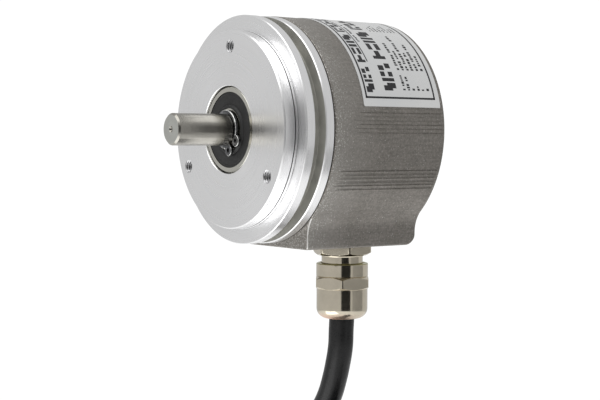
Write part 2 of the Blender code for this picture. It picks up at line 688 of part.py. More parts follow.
def smooth_curve(points, spacing):
    """Points a set distance apart along a Catmull-Rom curve through the route's points."""
    route = [Vector(p) for p in points]
    route = [2 * route[0] - route[1], *route, 2 * route[-1] - route[-2]]
    fine = []
    for a, b, c, d in zip(route, route[1:], route[2:], route[3:]):
        for k in range(12):
            t = k / 12
            fine.append(0.5 * (2 * b + (c - a) * t + (2 * a - 5 * b + 4 * c - d) * t**2
                               + (3 * b - a - 3 * c + d) * t**3))
    fine.append(route[-2])
    total = sum((b - a).length for a, b in zip(fine, fine[1:]))
    steps = max(2, round(total / spacing))
    kept, travelled, wanted = [fine[0]], 0.0, total / steps
    for a, b in zip(fine, fine[1:]):
        travelled += (b - a).length
        if travelled >= wanted * len(kept) - 1e-6 and len(kept) < steps:
            kept.append(b)
    return [*kept, fine[-1]]


def cord(name, points, radius, finish, spacing):
    curve = bpy.data.curves.new(name, "CURVE")
    curve.dimensions = "3D"
    curve.bevel_depth = radius * MM
    curve.bevel_resolution = 2
    curve.use_fill_caps = True
    curve.materials.append(finish)
    line = smooth_curve(points, spacing)
    spline = curve.splines.new("POLY")
    spline.points.add(len(line) - 1)
    for spot, point in zip(spline.points, line):
        spot.co = (*(point * MM), 1.0)
    thing = bpy.data.objects.new(name, curve)
    bpy.context.scene.collection.objects.link(thing)
    return thing


def tail_points():
    """The cord's end leaves the coil on a tangent and sags a little."""
    strand = math.radians(TAIL_OFFSET_DEG)
    leaves_r = COIL_R + COIL_STRAND_R * math.cos(strand)
    x, z = polar(leaves_r, TAIL_LEAVES_DEG, (COIL_X, COIL_Z))
    heading = Vector((-math.sin(math.radians(TAIL_LEAVES_DEG)), 0,
                      math.cos(math.radians(TAIL_LEAVES_DEG))))
    start = Vector((x, GLAND_Y + COIL_STRAND_R * math.sin(strand), z))
    spots = []
    for k in range(10):
        run = TAIL_LENGTH * k / 9
        spots.append(start + heading * run + Vector((0, 0, -TAIL_SAG * run**2)))
    return spots


def coil_clearance(point):
    """Distance of a point from the coil's surface."""
    across = math.hypot(point[0] - COIL_X, point[2] - COIL_Z) - COIL_R
    return math.hypot(across, point[1] - GLAND_Y) - COIL_BUNDLE_R


def clear_of_coil(points):
    return [p for p in points if coil_clearance(p) > CABLE_R + GAP]


def cable_set(looks):
    jacket = looks["cable_jacket"]
    route = smooth_curve([(x, GLAND_Y, z) for x, z in CABLE_ROUTE], 2.0)
    cord("cable", clear_of_coil(route), CABLE_R, jacket, 8.0)
    inside = [(0, GLAND_Y, CABLE_EXIT_Z + GAP), (0, GLAND_Y, -40), (0, GLAND_Y, -30),
              (0, GLAND_Y, -22), (0, GLAND_Y - 0.2, -17), (0, GLAND_Y - 0.8, -13 - GAP)]
    cord("inner_lead", inside, INNER_LEAD_R, jacket, 9.0)
    bundle = [polar(COIL_BUNDLE_R, 36 * (k + 0.5), (COIL_R, GLAND_Y)) for k in range(10)]
    place(turned(bundle, 28, "Y", (COIL_X, COIL_Z)), "cable_coil", jacket)

    tail = clear_of_coil(smooth_curve(tail_points(), 2.0))
    cord("cable_tail", tail, CABLE_R, jacket, 8.0)
    end, before = Vector(tail[-1]), Vector(tail[-2])
    heading = (end - before).normalized()
    leads = rod(LEADS_R, GAP, GAP + LEADS_LENGTH, 10, "Z")
    turn = Vector((0, 0, 1)).rotation_difference(heading).to_matrix().to_4x4()
    bmesh.ops.transform(leads, matrix=Matrix.Translation(end * MM) @ turn, verts=leads.verts)
    place(leads, "cable_leads", looks["lead_wires"])

    tie_inner = COIL_BUNDLE_R + 0.35
    tie = tube(tie_inner, tie_inner + TIE_THICK, -TIE_HALF_WIDTH, TIE_HALF_WIDTH, 20, "Z")
    x, z = polar(COIL_R, TIE_DEG, (COIL_X, COIL_Z))
    lean = Matrix.Rotation(-math.radians(TIE_DEG), 4, "Y")
    bmesh.ops.transform(tie, matrix=Matrix.Translation(Vector((x, GLAND_Y, z)) * MM) @ lean,
                        verts=tie.verts)
    place(tie, "cable_tie", looks["black_plastic"])


def main():
    clear_scene()
    looks = make_materials()
    groups = {}
    for name in ("turning_group", "front_orbit_group", "rear_orbit_group"):
        groups[name] = bpy.data.objects.new(name, None)
        bpy.context.scene.collection.objects.link(groups[name])
    turning = groups["turning_group"]

    front_flange(looks)
    housing_cap(looks)
    seals_and_label(looks)
    bearing("front", FRONT_BEARING, looks, turning, groups["front_orbit_group"])
    bearing("rear", REAR_BEARING, looks, turning, groups["rear_orbit_group"])
    bearing_fittings(looks, turning)
    pillars_and_screws(looks)
    electronics(looks)
    gland(looks)
    retaining_clip(looks, turning)
    shaft_group(looks, turning)
    cable_set(looks)


main()
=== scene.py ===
"""Looks for the rotary encoder: camera, light, cable, fine surfaces and materials around the CAD frame.

Lengths here are in millimetres in the row frame and MM turns them into metres: the shaft lies
along Y with its tip at -Y, the flange's front face is at y = 0, and the cable leaves along -Z.
"""
import math

import bmesh
import bpy
from mathutils import Matrix, Vector


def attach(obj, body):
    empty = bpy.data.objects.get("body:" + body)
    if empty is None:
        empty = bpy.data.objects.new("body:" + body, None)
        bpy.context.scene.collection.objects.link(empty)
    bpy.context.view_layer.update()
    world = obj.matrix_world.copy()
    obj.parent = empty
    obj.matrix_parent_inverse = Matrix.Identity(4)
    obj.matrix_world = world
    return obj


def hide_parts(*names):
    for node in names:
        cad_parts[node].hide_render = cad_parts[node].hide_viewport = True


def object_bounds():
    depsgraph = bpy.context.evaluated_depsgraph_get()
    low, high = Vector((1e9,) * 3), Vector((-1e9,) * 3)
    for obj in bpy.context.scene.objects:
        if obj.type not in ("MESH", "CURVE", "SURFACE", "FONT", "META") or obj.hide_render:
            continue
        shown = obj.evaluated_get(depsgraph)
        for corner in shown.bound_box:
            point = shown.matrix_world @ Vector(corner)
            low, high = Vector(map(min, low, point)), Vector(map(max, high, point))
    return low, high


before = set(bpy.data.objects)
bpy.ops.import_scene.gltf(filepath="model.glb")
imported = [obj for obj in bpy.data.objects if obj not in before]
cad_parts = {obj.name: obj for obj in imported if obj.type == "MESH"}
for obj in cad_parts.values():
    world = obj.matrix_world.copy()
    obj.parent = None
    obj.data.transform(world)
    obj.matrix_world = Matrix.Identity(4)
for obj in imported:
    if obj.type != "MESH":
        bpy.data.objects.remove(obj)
cad_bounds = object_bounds()

MM = 0.001
STATOR, ROTOR = "stator", "rotor"
SHARP_DEG = 34
# How far a rounded corner's extra point is from it, which keeps the flat beside it flat.
SUPPORT = 0.12


# ---------------- camera, stage and light

CAMERA_AIM = Vector((11.34, 14.41, -17.62)) * MM
CAMERA_DISTANCE = 341.9 * MM
CAMERA_AZIMUTH = 54.06
CAMERA_ELEVATION = 2.36
CAMERA_ROLL = 0.19
CAMERA_LENS = 81.4
FLOOR_DROP = 6.0 * MM
FLOOR_SOLID_R, FLOOR_FADED_R = 0.42, 0.66
ROOM_LIGHT, PAPER_LIGHT = 0.62, 1.05
GLAND_CARD_PLACE = Vector((86.2, 99.3, -57.0)) * MM
SHAFT_CARD_PLACE = Vector((62.0, -97.0, 0.0)) * MM


def placed(name, data):
    """A new object in the scene that shows this data."""
    thing = bpy.data.objects.new(name, data)
    bpy.context.scene.collection.objects.link(thing)
    return thing


def add_camera():
    azimuth, elevation = math.radians(CAMERA_AZIMUTH), math.radians(CAMERA_ELEVATION)
    back = Vector((math.sin(azimuth) * math.cos(elevation),
                   -math.cos(azimuth) * math.cos(elevation), math.sin(elevation)))
    data = bpy.data.cameras.new("camera")
    data.lens = CAMERA_LENS
    data.sensor_width = 36.0
    data.clip_start = 0.01
    camera = placed("camera", data)
    turn = back.to_track_quat("Z", "Y").to_matrix().to_4x4()
    roll = Matrix.Rotation(math.radians(CAMERA_ROLL), 4, "Z")
    camera.matrix_world = Matrix.Translation(CAMERA_AIM + back * CAMERA_DISTANCE) @ turn @ roll
    bpy.context.scene.camera = camera


def facing(azimuth, elevation, distance):
    """A place that looks back at the encoder; azimuth 0 is along +X and 90 along +Y."""
    a, e = math.radians(azimuth), math.radians(elevation)
    towards = Vector((math.cos(a) * math.cos(e), math.sin(a) * math.cos(e), math.sin(e)))
    return Matrix.Translation(towards * distance) @ towards.to_track_quat("Z", "Y").to_matrix().to_4x4()


def softbox(name, azimuth, elevation, distance, width, height, radiance):
    data = bpy.data.lights.new(name, "AREA")
    data.shape = "RECTANGLE"
    data.size, data.size_y = width, height
    data.energy = radiance * math.pi * width * height
    light = placed(name, data)
    light.matrix_world = facing(azimuth, elevation, distance)
    light.visible_camera = False


def flat_sheet(name, half_width, half_height, material):
    mesh = bpy.data.meshes.new(name)
    w, h = half_width, half_height
    mesh.from_pydata([(-w, -h, 0), (w, -h, 0), (w, h, 0), (-w, h, 0)], [], [(0, 1, 2, 3)])
    mesh.materials.append(material)
    sheet = placed(name, mesh)
    return sheet


def reflected_card(name, azimuth, elevation, distance, width, height, grey):
    """A card that only reflections see."""
    card = flat_sheet(name, width / 2, height / 2, Finish(name, (grey, grey, grey), 0.9).material)
    card.matrix_world = facing(azimuth, elevation, distance)
    card.visible_camera = False
    card.visible_diffuse = False
    card.visible_shadow = False
    return card


def add_world():
    world = bpy.data.worlds.new("studio")
    bpy.context.scene.world = world
    world.use_nodes = True
    nodes, links = world.node_tree.nodes, world.node_tree.links
    nodes.clear()
    path = nodes.new("ShaderNodeLightPath")
    mix = nodes.new("ShaderNodeMixShader")
    out = nodes.new("ShaderNodeOutputWorld")
    links.new(path.outputs["Is Camera Ray"], mix.inputs["Fac"])
    for socket, strength in ((1, ROOM_LIGHT), (2, PAPER_LIGHT)):
        white = nodes.new("ShaderNodeBackground")
        white.inputs["Color"].default_value = (1.0, 1.0, 1.0, 1.0)
        white.inputs["Strength"].default_value = strength
        links.new(white.outputs["Background"], mix.inputs[socket])
    links.new(mix.outputs["Shader"], out.inputs["Surface"])


def add_floor():
    """A pale floor whose edge fades into the white room."""
    f = Finish("floor_white", (0.93, 0.93, 0.93), 0.85)
    f.put("Emission Color", (1.0, 1.0, 1.0, 1.0))
    f.put("Emission Strength", 0.22)
    f.gloss(f.noise(f.coords, 40.0), 0.8, 0.9)
    reach = f.node("ShaderNodeVectorMath", operation="LENGTH")
    f.link(f.coords, reach.inputs[0])
    f.drive("Alpha", f.ramp(reach.outputs["Value"], FLOOR_SOLID_R, FLOOR_FADED_R, 1.0, 0.0))
    floor = flat_sheet("floor", 1.0, 1.0, f.material)
    floor.location.z = cad_bounds[0][2] - FLOOR_DROP


def add_stage():
    bpy.context.scene.view_settings.view_transform = "Standard"
    add_world()
    add_floor()
    softbox("overhead_light", -84, 60, 0.9, 0.95, 0.75, 1.7)
    softbox("low_light", -94, -54, 0.235, 0.22, 0.16, 1.5)
    reflected_card("camera_opening", -18.3, 0, 0.75, 0.58, 0.80, 0.012)
    grey = reflected_card("gland_card", 40, 0, 0.0, 0.115, 0.050, 0.40)
    grey.location = GLAND_CARD_PLACE
    dark = reflected_card("shaft_card", -54, 0, 0.0, 0.040, 0.080, 0.02)
    dark.location = SHAFT_CARD_PLACE


# ---------------- materials

class Finish:
    """One procedural material and the short calls that wire its nodes."""

    def __init__(self, name, colour, roughness, metallic=0.0):
        self.material = bpy.data.materials.new(name)
        self.material.use_nodes = True
        self.tree = self.material.node_tree
        self.shader = self.tree.nodes["Principled BSDF"]
        self.put("Base Color", (*colour, 1.0))
        self.put("Roughness", roughness)
        self.put("Metallic", metallic)
        self.coords = self.node("ShaderNodeTexCoord").outputs["Object"]
        self.normal = None

    def node(self, kind, **settings):
        made = self.tree.nodes.new(kind)
        for key, value in settings.items():
            setattr(made, key, value)
        return made

    def put(self, socket, value):
        self.shader.inputs[socket].default_value = value

    def link(self, source, target):
        self.tree.links.new(source, target)

    def drive(self, socket, source):
        self.link(source, self.shader.inputs[socket])

    def math(self, operation, *values):
        made = self.node("ShaderNodeMath", operation=operation)
        for socket, value in zip(made.inputs, values):
            if isinstance(value, (int, float)):
                socket.default_value = value
            else:
                self.link(value, socket)
        return made.outputs[0]

    def distance(self, first, second):
        """How far a place with these two coordinates is from the axis."""
        squares = [self.math("MULTIPLY", side, side) for side in (first, second)]
        return self.math("SQRT", self.math("ADD", *squares))

    def axes(self):
        split = self.node("ShaderNodeSeparateXYZ")
        self.link(self.coords, split.inputs[0])
        return split.outputs

    def noise(self, vector, scale, detail=3.0, rough=0.55):
        made = self.node("ShaderNodeTexNoise")
        made.inputs["Scale"].default_value = scale
        made.inputs["Detail"].default_value = detail
        made.inputs["Roughness"].default_value = rough
        self.link(vector, made.inputs["Vector"])
        return made.outputs["Fac"]

    def tool_marks(self, axis, fine, around, centre=(0.0, 0.0)):
        """Noise that is fine across a lathe's marks and drawn out round the axis."""
        x, y, z = self.axes()
        first, second, along = (x, z, y) if axis == "Y" else (x, y, z)
        first = self.math("SUBTRACT", first, centre[0] * MM)
        second = self.math("SUBTRACT", second, centre[1] * MM)
        radius = self.distance(first, second)
        made = self.node("ShaderNodeTexNoise", noise_dimensions="4D")
        made.inputs["Scale"].default_value = 1.0
        made.inputs["Detail"].default_value = 2.0
        joined = self.node("ShaderNodeCombineXYZ")
        self.link(self.math("MULTIPLY", radius, fine), joined.inputs[0])
        for side, socket in ((first, 1), (second, 2)):
            turned = self.math("DIVIDE", side, self.math("MAXIMUM", radius, 1e-6))
            self.link(self.math("MULTIPLY", turned, around), joined.inputs[socket])
        self.link(joined.outputs[0], made.inputs["Vector"])
        self.link(self.math("MULTIPLY", along, fine), made.inputs["W"])
        return made.outputs["Fac"]

    def ramp(self, factor, low, high, at_low=0.0, at_high=1.0):
        made = self.node("ShaderNodeMapRange")
        for socket, value in (("From Min", low), ("From Max", high), ("To Min", at_low),
                              ("To Max", at_high)):
            made.inputs[socket].default_value = value
        self.link(factor, made.inputs["Value"])
        return made.outputs["Result"]

    def blend(self, factor, first, second):
        made = self.node("ShaderNodeMix", data_type="RGBA")
        self.link(factor, made.inputs[0])
        for socket, value in ((made.inputs[6], first), (made.inputs[7], second)):
            if isinstance(value, tuple):
                socket.default_value = (*value, 1.0)
            else:
                self.link(value, socket)
        return made.outputs[2]

    def bump(self, height, distance, strength=1.0):
        """Adds a relief of this height on top of any that came before it."""
        made = self.node("ShaderNodeBump")
        made.inputs["Distance"].default_value = distance
        made.inputs["Strength"].default_value = strength
        self.link(height, made.inputs["Height"])
        if self.normal is not None:
            self.link(self.normal, made.inputs["Normal"])
        self.normal = made.outputs["Normal"]
        self.drive("Normal", self.normal)

    def tint(self, factor, low, high, first, second):
        """A colour that goes from the first to the second as the factor rises."""
        self.drive("Base Color", self.blend(self.ramp(factor, low, high), first, second))

    def gloss(self, noise, smooth, rough):
        """Roughness that wanders between two values with a noise."""
        self.drive("Roughness", self.ramp(noise, 0.3, 0.7, smooth, rough))

    def brush(self, axis, stretch):
        """Reflections drawn out across marks that run round the axis."""
        self.put("Anisotropic", stretch)
        self.put("Anisotropic Rotation", 0.25)
        tangent = self.node("ShaderNodeTangent", direction_type="RADIAL", axis=axis)
        self.drive("Tangent", tangent.outputs["Tangent"])


def shade(colour, factor):
    return tuple(min(1.0, c * factor) for c in colour)


def turned_metal(name, colour, roughness, stretch=0.6, marks=0.5, contrast=0.09):
    """Metal turned about the shaft's axis: marks round it that smear reflections across them."""
    f = Finish(name, colour, roughness, 1.0)
    lines = f.tool_marks("Y", 5200.0, 0.8)
    bands = f.tool_marks("Y", 900.0, 0.5)
    cloud = f.noise(f.coords, 110.0)
    tone = f.math("MULTIPLY", f.math("ADD", bands, cloud), 0.5)
    f.tint(tone, 0.36, 0.62, shade(colour, 1 - contrast), colour)
    f.gloss(lines, roughness * 0.85, roughness * 1.15)
    f.brush("Y", stretch)
    f.bump(lines, 0.0000016 * marks)
    return f.material


def cast_metal():
    """Blasted die casting: grey with a fine grain and sparkling specks near its front edge."""
    f = Finish("cast_housing", (0.29, 0.282, 0.262), 0.5, 0.9)
    grain = f.noise(f.coords, 3600.0, 2.0)
    pores = f.noise(f.coords, 1700.0, 3.0)
    cloud = f.noise(f.coords, 140.0, 4.0)
    along = f.axes()[1]
    base = f.blend(f.ramp(cloud, 0.3, 0.72), (0.276, 0.257, 0.234), (0.338, 0.315, 0.290))
    drawn = f.node("ShaderNodeMapping")
    drawn.inputs["Scale"].default_value = (1.0, 0.06, 1.0)
    f.link(f.coords, drawn.inputs["Vector"])
    streak = f.noise(drawn.outputs["Vector"], 2300.0, 2.0)
    base = f.blend(f.ramp(streak, 0.35, 0.62, 0.32, 0.0), base, (0.17, 0.164, 0.147))
    base = f.blend(f.ramp(pores, 0.36, 0.62, 0.45, 0.0), base, (0.125, 0.12, 0.107))
    front = f.math("MULTIPLY", f.ramp(along, 0.0125, 0.026, 0.46, 0.0),
                   f.ramp(along, 0.0122, 0.0127, 0.0, 1.0))
    base = f.blend(front, base, (0.43, 0.415, 0.39))
    handled = f.ramp(along, 0.0125, 0.0185, 0.10, -0.015)
    speck = f.math("ADD", f.noise(f.coords, 3300.0, 1.0, 0.4), handled)
    f.tint(speck, 0.67, 0.76, base, (0.62, 0.61, 0.58))
    f.gloss(grain, 0.42, 0.62)
    f.bump(cloud, 0.00006, 0.6)
    f.bump(pores, 0.00003, 0.7)
    f.bump(grain, 0.00002, 0.8)
    return f.material


def soft_plastic(name, colour, roughness, grain=1500.0, metallic=0.0):
    """Moulded or extruded plastic and rubber: a fine grain, uneven gloss and a little dust."""
    f = Finish(name, colour, roughness, metallic)
    fine = f.noise(f.coords, grain)
    cloud = f.noise(f.coords, 200.0, 4.0)
    pale = tuple(min(1.0, c * 1.25 + 0.004) for c in colour)
    f.tint(cloud, 0.35, 0.75, shade(colour, 0.88), pale)
    f.gloss(fine, roughness * 0.86, roughness * 1.14)
    f.bump(fine, 0.000010)
    return f.material


def blackened_steel():
    """Phosphated spring steel that is rubbed bright in places."""
    f = Finish("blackened_steel", (0.085, 0.085, 0.09), 0.3, 0.95)
    wear = f.noise(f.coords, 900.0, 4.0)
    f.tint(wear, 0.45, 0.68, (0.10, 0.102, 0.106), (0.30, 0.30, 0.31))
    f.gloss(wear, 0.24, 0.42)
    f.bump(f.noise(f.coords, 3000.0), 0.000006)
    return f.material


def edge_wear_and_highlight():
    # Bright bevel finish: partly rubbed wear, partly a painted highlight.
    f = Finish("edge_wear_and_highlight", (0.78, 0.78, 0.76), 0.3, 0.5)
    wear = f.noise(f.coords, 1600.0, 4.0)
    f.tint(wear, 0.34, 0.56, (0.30, 0.30, 0.31), (0.90, 0.90, 0.87))
    f.gloss(wear, 0.18, 0.34)
    return f.material


def film():
    f = Finish("label_film", (0.66, 0.665, 0.66), 0.32)
    weave = f.noise(f.coords, 1900.0, 2.0)
    cloud = f.noise(f.coords, 70.0, 3.0)
    f.tint(cloud, 0.3, 0.7, (0.635, 0.645, 0.65), (0.70, 0.70, 0.69))
    f.gloss(weave, 0.26, 0.4)
    f.bump(weave, 0.000004)
    return f.material


def printed_ink():
    f = Finish("label_ink", (0.012, 0.012, 0.014), 0.45)
    worn = f.noise(f.coords, 2200.0, 3.0)
    f.tint(worn, 0.55, 0.8, (0.010, 0.010, 0.012), (0.05, 0.05, 0.055))
    return f.material


def solder_mask():
    """Green laminate with the pattern of the copper beneath it."""
    f = Finish("board_laminate", (0.02, 0.15, 0.07), 0.36)
    tracks = f.node("ShaderNodeTexBrick")
    tracks.inputs["Scale"].default_value = 420.0
    tracks.inputs["Mortar Size"].default_value = 0.03
    f.link(f.coords, tracks.inputs["Vector"])
    f.drive("Base Color", f.blend(tracks.outputs["Fac"], (0.02, 0.14, 0.06), (0.05, 0.25, 0.10)))
    f.bump(tracks.outputs["Fac"], 0.00002)
    return f.material


def coded_glass():
    """Clear disc with a ring of chrome slots over the sensor."""
    f = Finish("disc_glass", (0.75, 0.84, 0.88), 0.08)
    x, _, z = f.axes()
    ring = f.math("COMPARE", f.distance(x, z), 0.0156, 0.0011)
    slots = f.math("GREATER_THAN", f.math("SINE", f.math("MULTIPLY", f.math("ARCTAN2", z, x), 180.0)),
                   0.0)
    mask = f.math("MULTIPLY", ring, slots)
    f.drive("Base Color", f.blend(mask, (0.75, 0.84, 0.88), (0.20, 0.21, 0.22)))
    f.drive("Metallic", mask)
    f.put("Transmission Weight", 0.6)
    f.put("IOR", 1.5)
    return f.material


def plated_brass():
    """Nickel plate, warm, with a painted coppery reflection low on the mouth's front side and a brass
    tint at the rim, partly brass showing and partly a painted sheen.
    """
    colour = (0.65, 0.592, 0.48)
    f = Finish("nickel_plate", colour, 0.12, 1.0)
    lines = f.tool_marks("Z", 4200.0, 0.8, (0.0, GLAND_Y))
    cloud = f.noise(f.coords, 260.0)
    plate = f.blend(f.ramp(cloud, 0.32, 0.66), shade(colour, 0.88), colour)
    _, along, down = f.axes()
    # Painted reflection: a copper tint low on the dome, stronger on the -Y side, stands for a warm
    # reflection.
    mouth = f.ramp(down, -0.0500, -0.0483, 1.0, 0.0)
    reflection_side = f.ramp(along, 0.0325, 0.0365, 0.85, 0.15)
    copper = f.blend(f.math("MULTIPLY", mouth, reflection_side), plate, (0.74, 0.47, 0.34))
    # The rim band: partly brass showing through, partly a painted sheen.
    cap_rim = f.math("COMPARE", down, -0.03543, 0.00016)
    f.drive("Base Color", f.blend(cap_rim, copper, (0.36, 0.335, 0.17)))
    polish = f.ramp(lines, 0.3, 0.7, 0.10, 0.16)
    f.drive("Roughness", f.math("ADD", polish, f.math("MULTIPLY", mouth, 0.32)))
    f.brush("Z", 0.2)
    f.bump(lines, 0.0000015)
    f.bump(cloud, 0.00001, 0.5)
    return f.material


def extruded_jacket():
    """Black cable jacket: soft shine and the slight unevenness of extrusion."""
    f = Finish("cable_jacket", (0.009, 0.009, 0.0095), 0.45)
    swell = f.noise(f.coords, 150.0, 3.0)
    fine = f.noise(f.coords, 2400.0, 2.0)
    f.tint(swell, 0.35, 0.7, (0.006, 0.006, 0.0063), (0.012, 0.012, 0.0123))
    f.gloss(fine, 0.25, 0.36)
    f.put("Specular IOR Level", 0.28)
    f.bump(swell, 0.00022, 0.6)
    f.bump(fine, 0.000008, 0.8)
    return f.material


looks = {}


ALUMINIUM = (0.90, 0.90, 0.905)
# Colour, roughness and what else a turned finish needs.
TURNED = {
    "turned_aluminium": (ALUMINIUM, 0.30, {"marks": 0.4, "contrast": 0.03}),
    "faced_aluminium": (ALUMINIUM, 0.30, {"marks": 0.1, "contrast": 0.02}),
    # Lit and shaded copies of the aluminium: painted light and shade in the tapped holes.
    "thread_light": ((0.66, 0.66, 0.67), 0.42, {"stretch": 0.0}),
    "thread_shade": ((0.03, 0.03, 0.03), 0.4, {"stretch": 0.0}),
    # A dark copy of the aluminium: painted shade in the relief groove under the pilot.
    "relief_shade": ((0.20, 0.20, 0.20), 0.3, {"stretch": 0.0}),
    "ground_steel": ((0.36, 0.348, 0.315), 0.24, {"stretch": 0.5, "marks": 0.2, "contrast": 0.12}),
    "faced_end": ((0.56, 0.565, 0.53), 0.32, {"stretch": 0.2}),
    "bearing_steel": ((0.57, 0.56, 0.51), 0.22, {"stretch": 0.4}),
}
# Colour, roughness and what else a moulded, plated or painted finish needs.
PLAIN = {
    # A darker, duller copy of the aluminium: painted shade in the flange's groove.
    "shaded_aluminium": ((0.40, 0.395, 0.36), 0.45, {"metallic": 0.35}),
    # A pale, half-metallic finish: a painted highlight along the foot's front edge.
    "worn_edge": ((0.80, 0.79, 0.76), 0.45, {"metallic": 0.4}),
    # A near-black copy of the casting: painted shade on the housing's back bevel.
    "dark_edge": ((0.07, 0.068, 0.06), 0.5, {"metallic": 0.8}),
    "zinc_steel": ((0.66, 0.66, 0.63), 0.3, {"metallic": 1.0}),
    "seal_rubber": ((0.011, 0.011, 0.011), 0.62, {"grain": 1800.0}),
    "black_plastic": ((0.022, 0.022, 0.024), 0.4, {}),
    "white_plastic": ((0.78, 0.78, 0.74), 0.35, {}),
    "cage_plastic": ((0.30, 0.20, 0.10), 0.5, {}),
    "lead_wires": ((0.45, 0.12, 0.05), 0.4, {}),
}
MATERIAL_NAMES = {"ground_steel": "ground_shaft", "zinc_steel": "zinc_plate"}


def make_looks():
    for recipes, make in ((TURNED, turned_metal), (PLAIN, soft_plastic)):
        for key, (colour, roughness, settings) in recipes.items():
            name = MATERIAL_NAMES.get(key, key)
            looks[key] = make(name, colour, roughness, **settings)
    looks.update({
        "nickel_brass": plated_brass(), "cast_housing": cast_metal(), "ink": printed_ink(),
        "spring_steel": blackened_steel(), "edge_wear_and_highlight": edge_wear_and_highlight(), "label_film": film(),
        "cable_jacket": extruded_jacket(), "board_laminate": solder_mask(),
        "disc_glass": coded_glass(),
    })


# ---------------- shapes

def finish_mesh(bm, name, finish):
    """Turn a bmesh into a piece: faces out, rounds smooth, edges crisp."""
    bmesh.ops.recalc_face_normals(bm, faces=bm.faces)
    mesh = bpy.data.meshes.new(name)
    bm.to_mesh(mesh)
    bm.free()
    mesh.shade_smooth()
    mesh.set_sharp_from_angle(angle=math.radians(SHARP_DEG))
    if finish:
        mesh.materials.append(looks[finish])
    return placed(name, mesh)


def soften(corners, steps=4):
    """Round each (radius, height, rounding) corner of a closed outline; 0 leaves it as it is."""
    outline = []
    for k, (r, h, rounding) in enumerate(corners):
        here = Vector((r, h))
        before = Vector(corners[k - 1][:2]) - here
        after = Vector(corners[(k + 1) % len(corners)][:2]) - here
        if rounding <= 0:
            outline.append(here)
            continue
        half = before.angle(after) / 2
        back = min(rounding / math.tan(half), 0.46 * before.length, 0.46 * after.length)
        first = here + before.normalized() * back
        last = here + after.normalized() * back
        if before.length > 4 * (back + SUPPORT):
            outline.append(first + before.normalized() * SUPPORT)
        for step in range(steps + 1):
            t = step / steps
            outline.append(first * (1 - t) ** 2 + here * 2 * t * (1 - t) + last * t**2)
        if after.length > 4 * (back + SUPPORT):
            outline.append(last + after.normalized() * SUPPORT)
    return [tuple(p) for p in outline]


def lathe(outline, segments, axis="Y", centre=(0.0, 0.0)):
    """A closed (radius, height) outline spun about an axis."""
    bm = bmesh.new()
    rings = []
    for radius, height in outline:
        ring = []
        for step in range(segments if radius > 1e-6 else 1):
            turn = 2 * math.pi * step / segments
            a, b = centre[0] + radius * math.cos(turn), centre[1] + radius * math.sin(turn)
            place = (a, height, b) if axis == "Y" else (a, b, height)
            ring.append(bm.verts.new(Vector(place) * MM))
        rings.append(ring)
    for ring, after in zip(rings, rings[1:] + rings[:1]):
        if len(ring) == 1 and len(after) == 1:
            continue
        for step in range(segments):
            following = (step + 1) % segments
            corners = [ring[step % len(ring)], after[step % len(after)],
                       after[following % len(after)], ring[following % len(ring)]]
            bm.faces.new(list(dict.fromkeys(corners)))
    return bm


def loft(loops, ends="caps"):
    """Quads between closed loops; the ends are capped, or joined to each other with "ring"."""
    bm = bmesh.new()
    rows = [[bm.verts.new(Vector(p) * MM) for p in loop] for loop in loops]
    followers = rows[1:] + rows[:1] if ends == "ring" else rows[1:]
    for row, after in zip(rows, followers):
        for step in range(len(row)):
            following = (step + 1) % len(row)
            bm.faces.new([row[step], after[step], after[following], row[following]])
    if ends == "caps":
        bm.faces.new(rows[0])
        bm.faces.new(rows[-1])
    return bm


def joined(shapes):
    """Several closed shapes in one bmesh."""
    whole = bmesh.new()
    for shape in shapes:
        bmesh.ops.recalc_face_normals(shape, faces=shape.faces)
        mesh = bpy.data.meshes.new("shape")
        shape.to_mesh(mesh)
        shape.free()
        whole.from_mesh(mesh)
        bpy.data.meshes.remove(mesh)
    return whole


def apply_modifiers(thing):
    """Keep the modified mesh, with its one finish and its crisp edges."""
    graph = bpy.context.evaluated_depsgraph_get()
    result = bpy.data.meshes.new_from_object(thing.evaluated_get(graph), depsgraph=graph)
    thing.modifiers.clear()
    thing.data = result
    while len(result.materials) > 1:
        result.materials.pop(index=1)
    result.shade_smooth()
    result.set_sharp_from_angle(angle=math.radians(SHARP_DEG))


def carve(thing, *shapes, operation="DIFFERENCE"):
    """Cut the shapes out of a piece, or join them to it."""
    tool = finish_mesh(joined(shapes), "tool", None)
    change = thing.modifiers.new("carve", "BOOLEAN")
    change.object = tool
    change.operation = operation
    change.solver = "EXACT"
    apply_modifiers(thing)
    bpy.data.objects.remove(tool, do_unlink=True)


def paint(thing, finish, chosen):
    """A second finish on the faces for which chosen(place in mm, normal) is true."""
    thing.data.materials.append(looks[finish])
    last = len(thing.data.materials) - 1
    for face in thing.data.polygons:
        if chosen(face.center / MM, face.normal):
            face.material_index = last


def polar(radius, degrees, centre=(0.0, 0.0)):
    turn = math.radians(degrees)
    return centre[0] + radius * math.cos(turn), centre[1] + radius * math.sin(turn)


def arc(centre, radius, start, end, steps):
    return [polar(radius, start + (end - start) * k / steps, centre) for k in range(steps + 1)]


def smooth_step(value, low, high):
    t = min(1.0, max(0.0, (value - low) / (high - low)))
    return t * t * (3 - 2 * t)


def settle(piece, body, slot, *nodes):
    """The piece rides on a body and stands for CAD nodes, which it hides; the slot is not used."""
    if nodes:
        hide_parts(*nodes)
    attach(piece, body)
    return piece


def add_piece(bm, name, body, finish, *nodes):
    return settle(finish_mesh(bm, name, finish), body, finish, *nodes)


# ---------------- flange

BOLT_CIRCLE_R = 21.0
BOLT_ANGLES = (86.93, 206.93, 326.93)
PILLAR_CIRCLE_R = 21.5
PILLAR_ANGLES = (90, 210, 330)
THREAD_PITCH, THREAD_CORE_R, THREAD_DEPTH = 0.7, 1.62, 0.36
HOLE_LEAD, HOLE_DEPTH = 0.6, 8.0


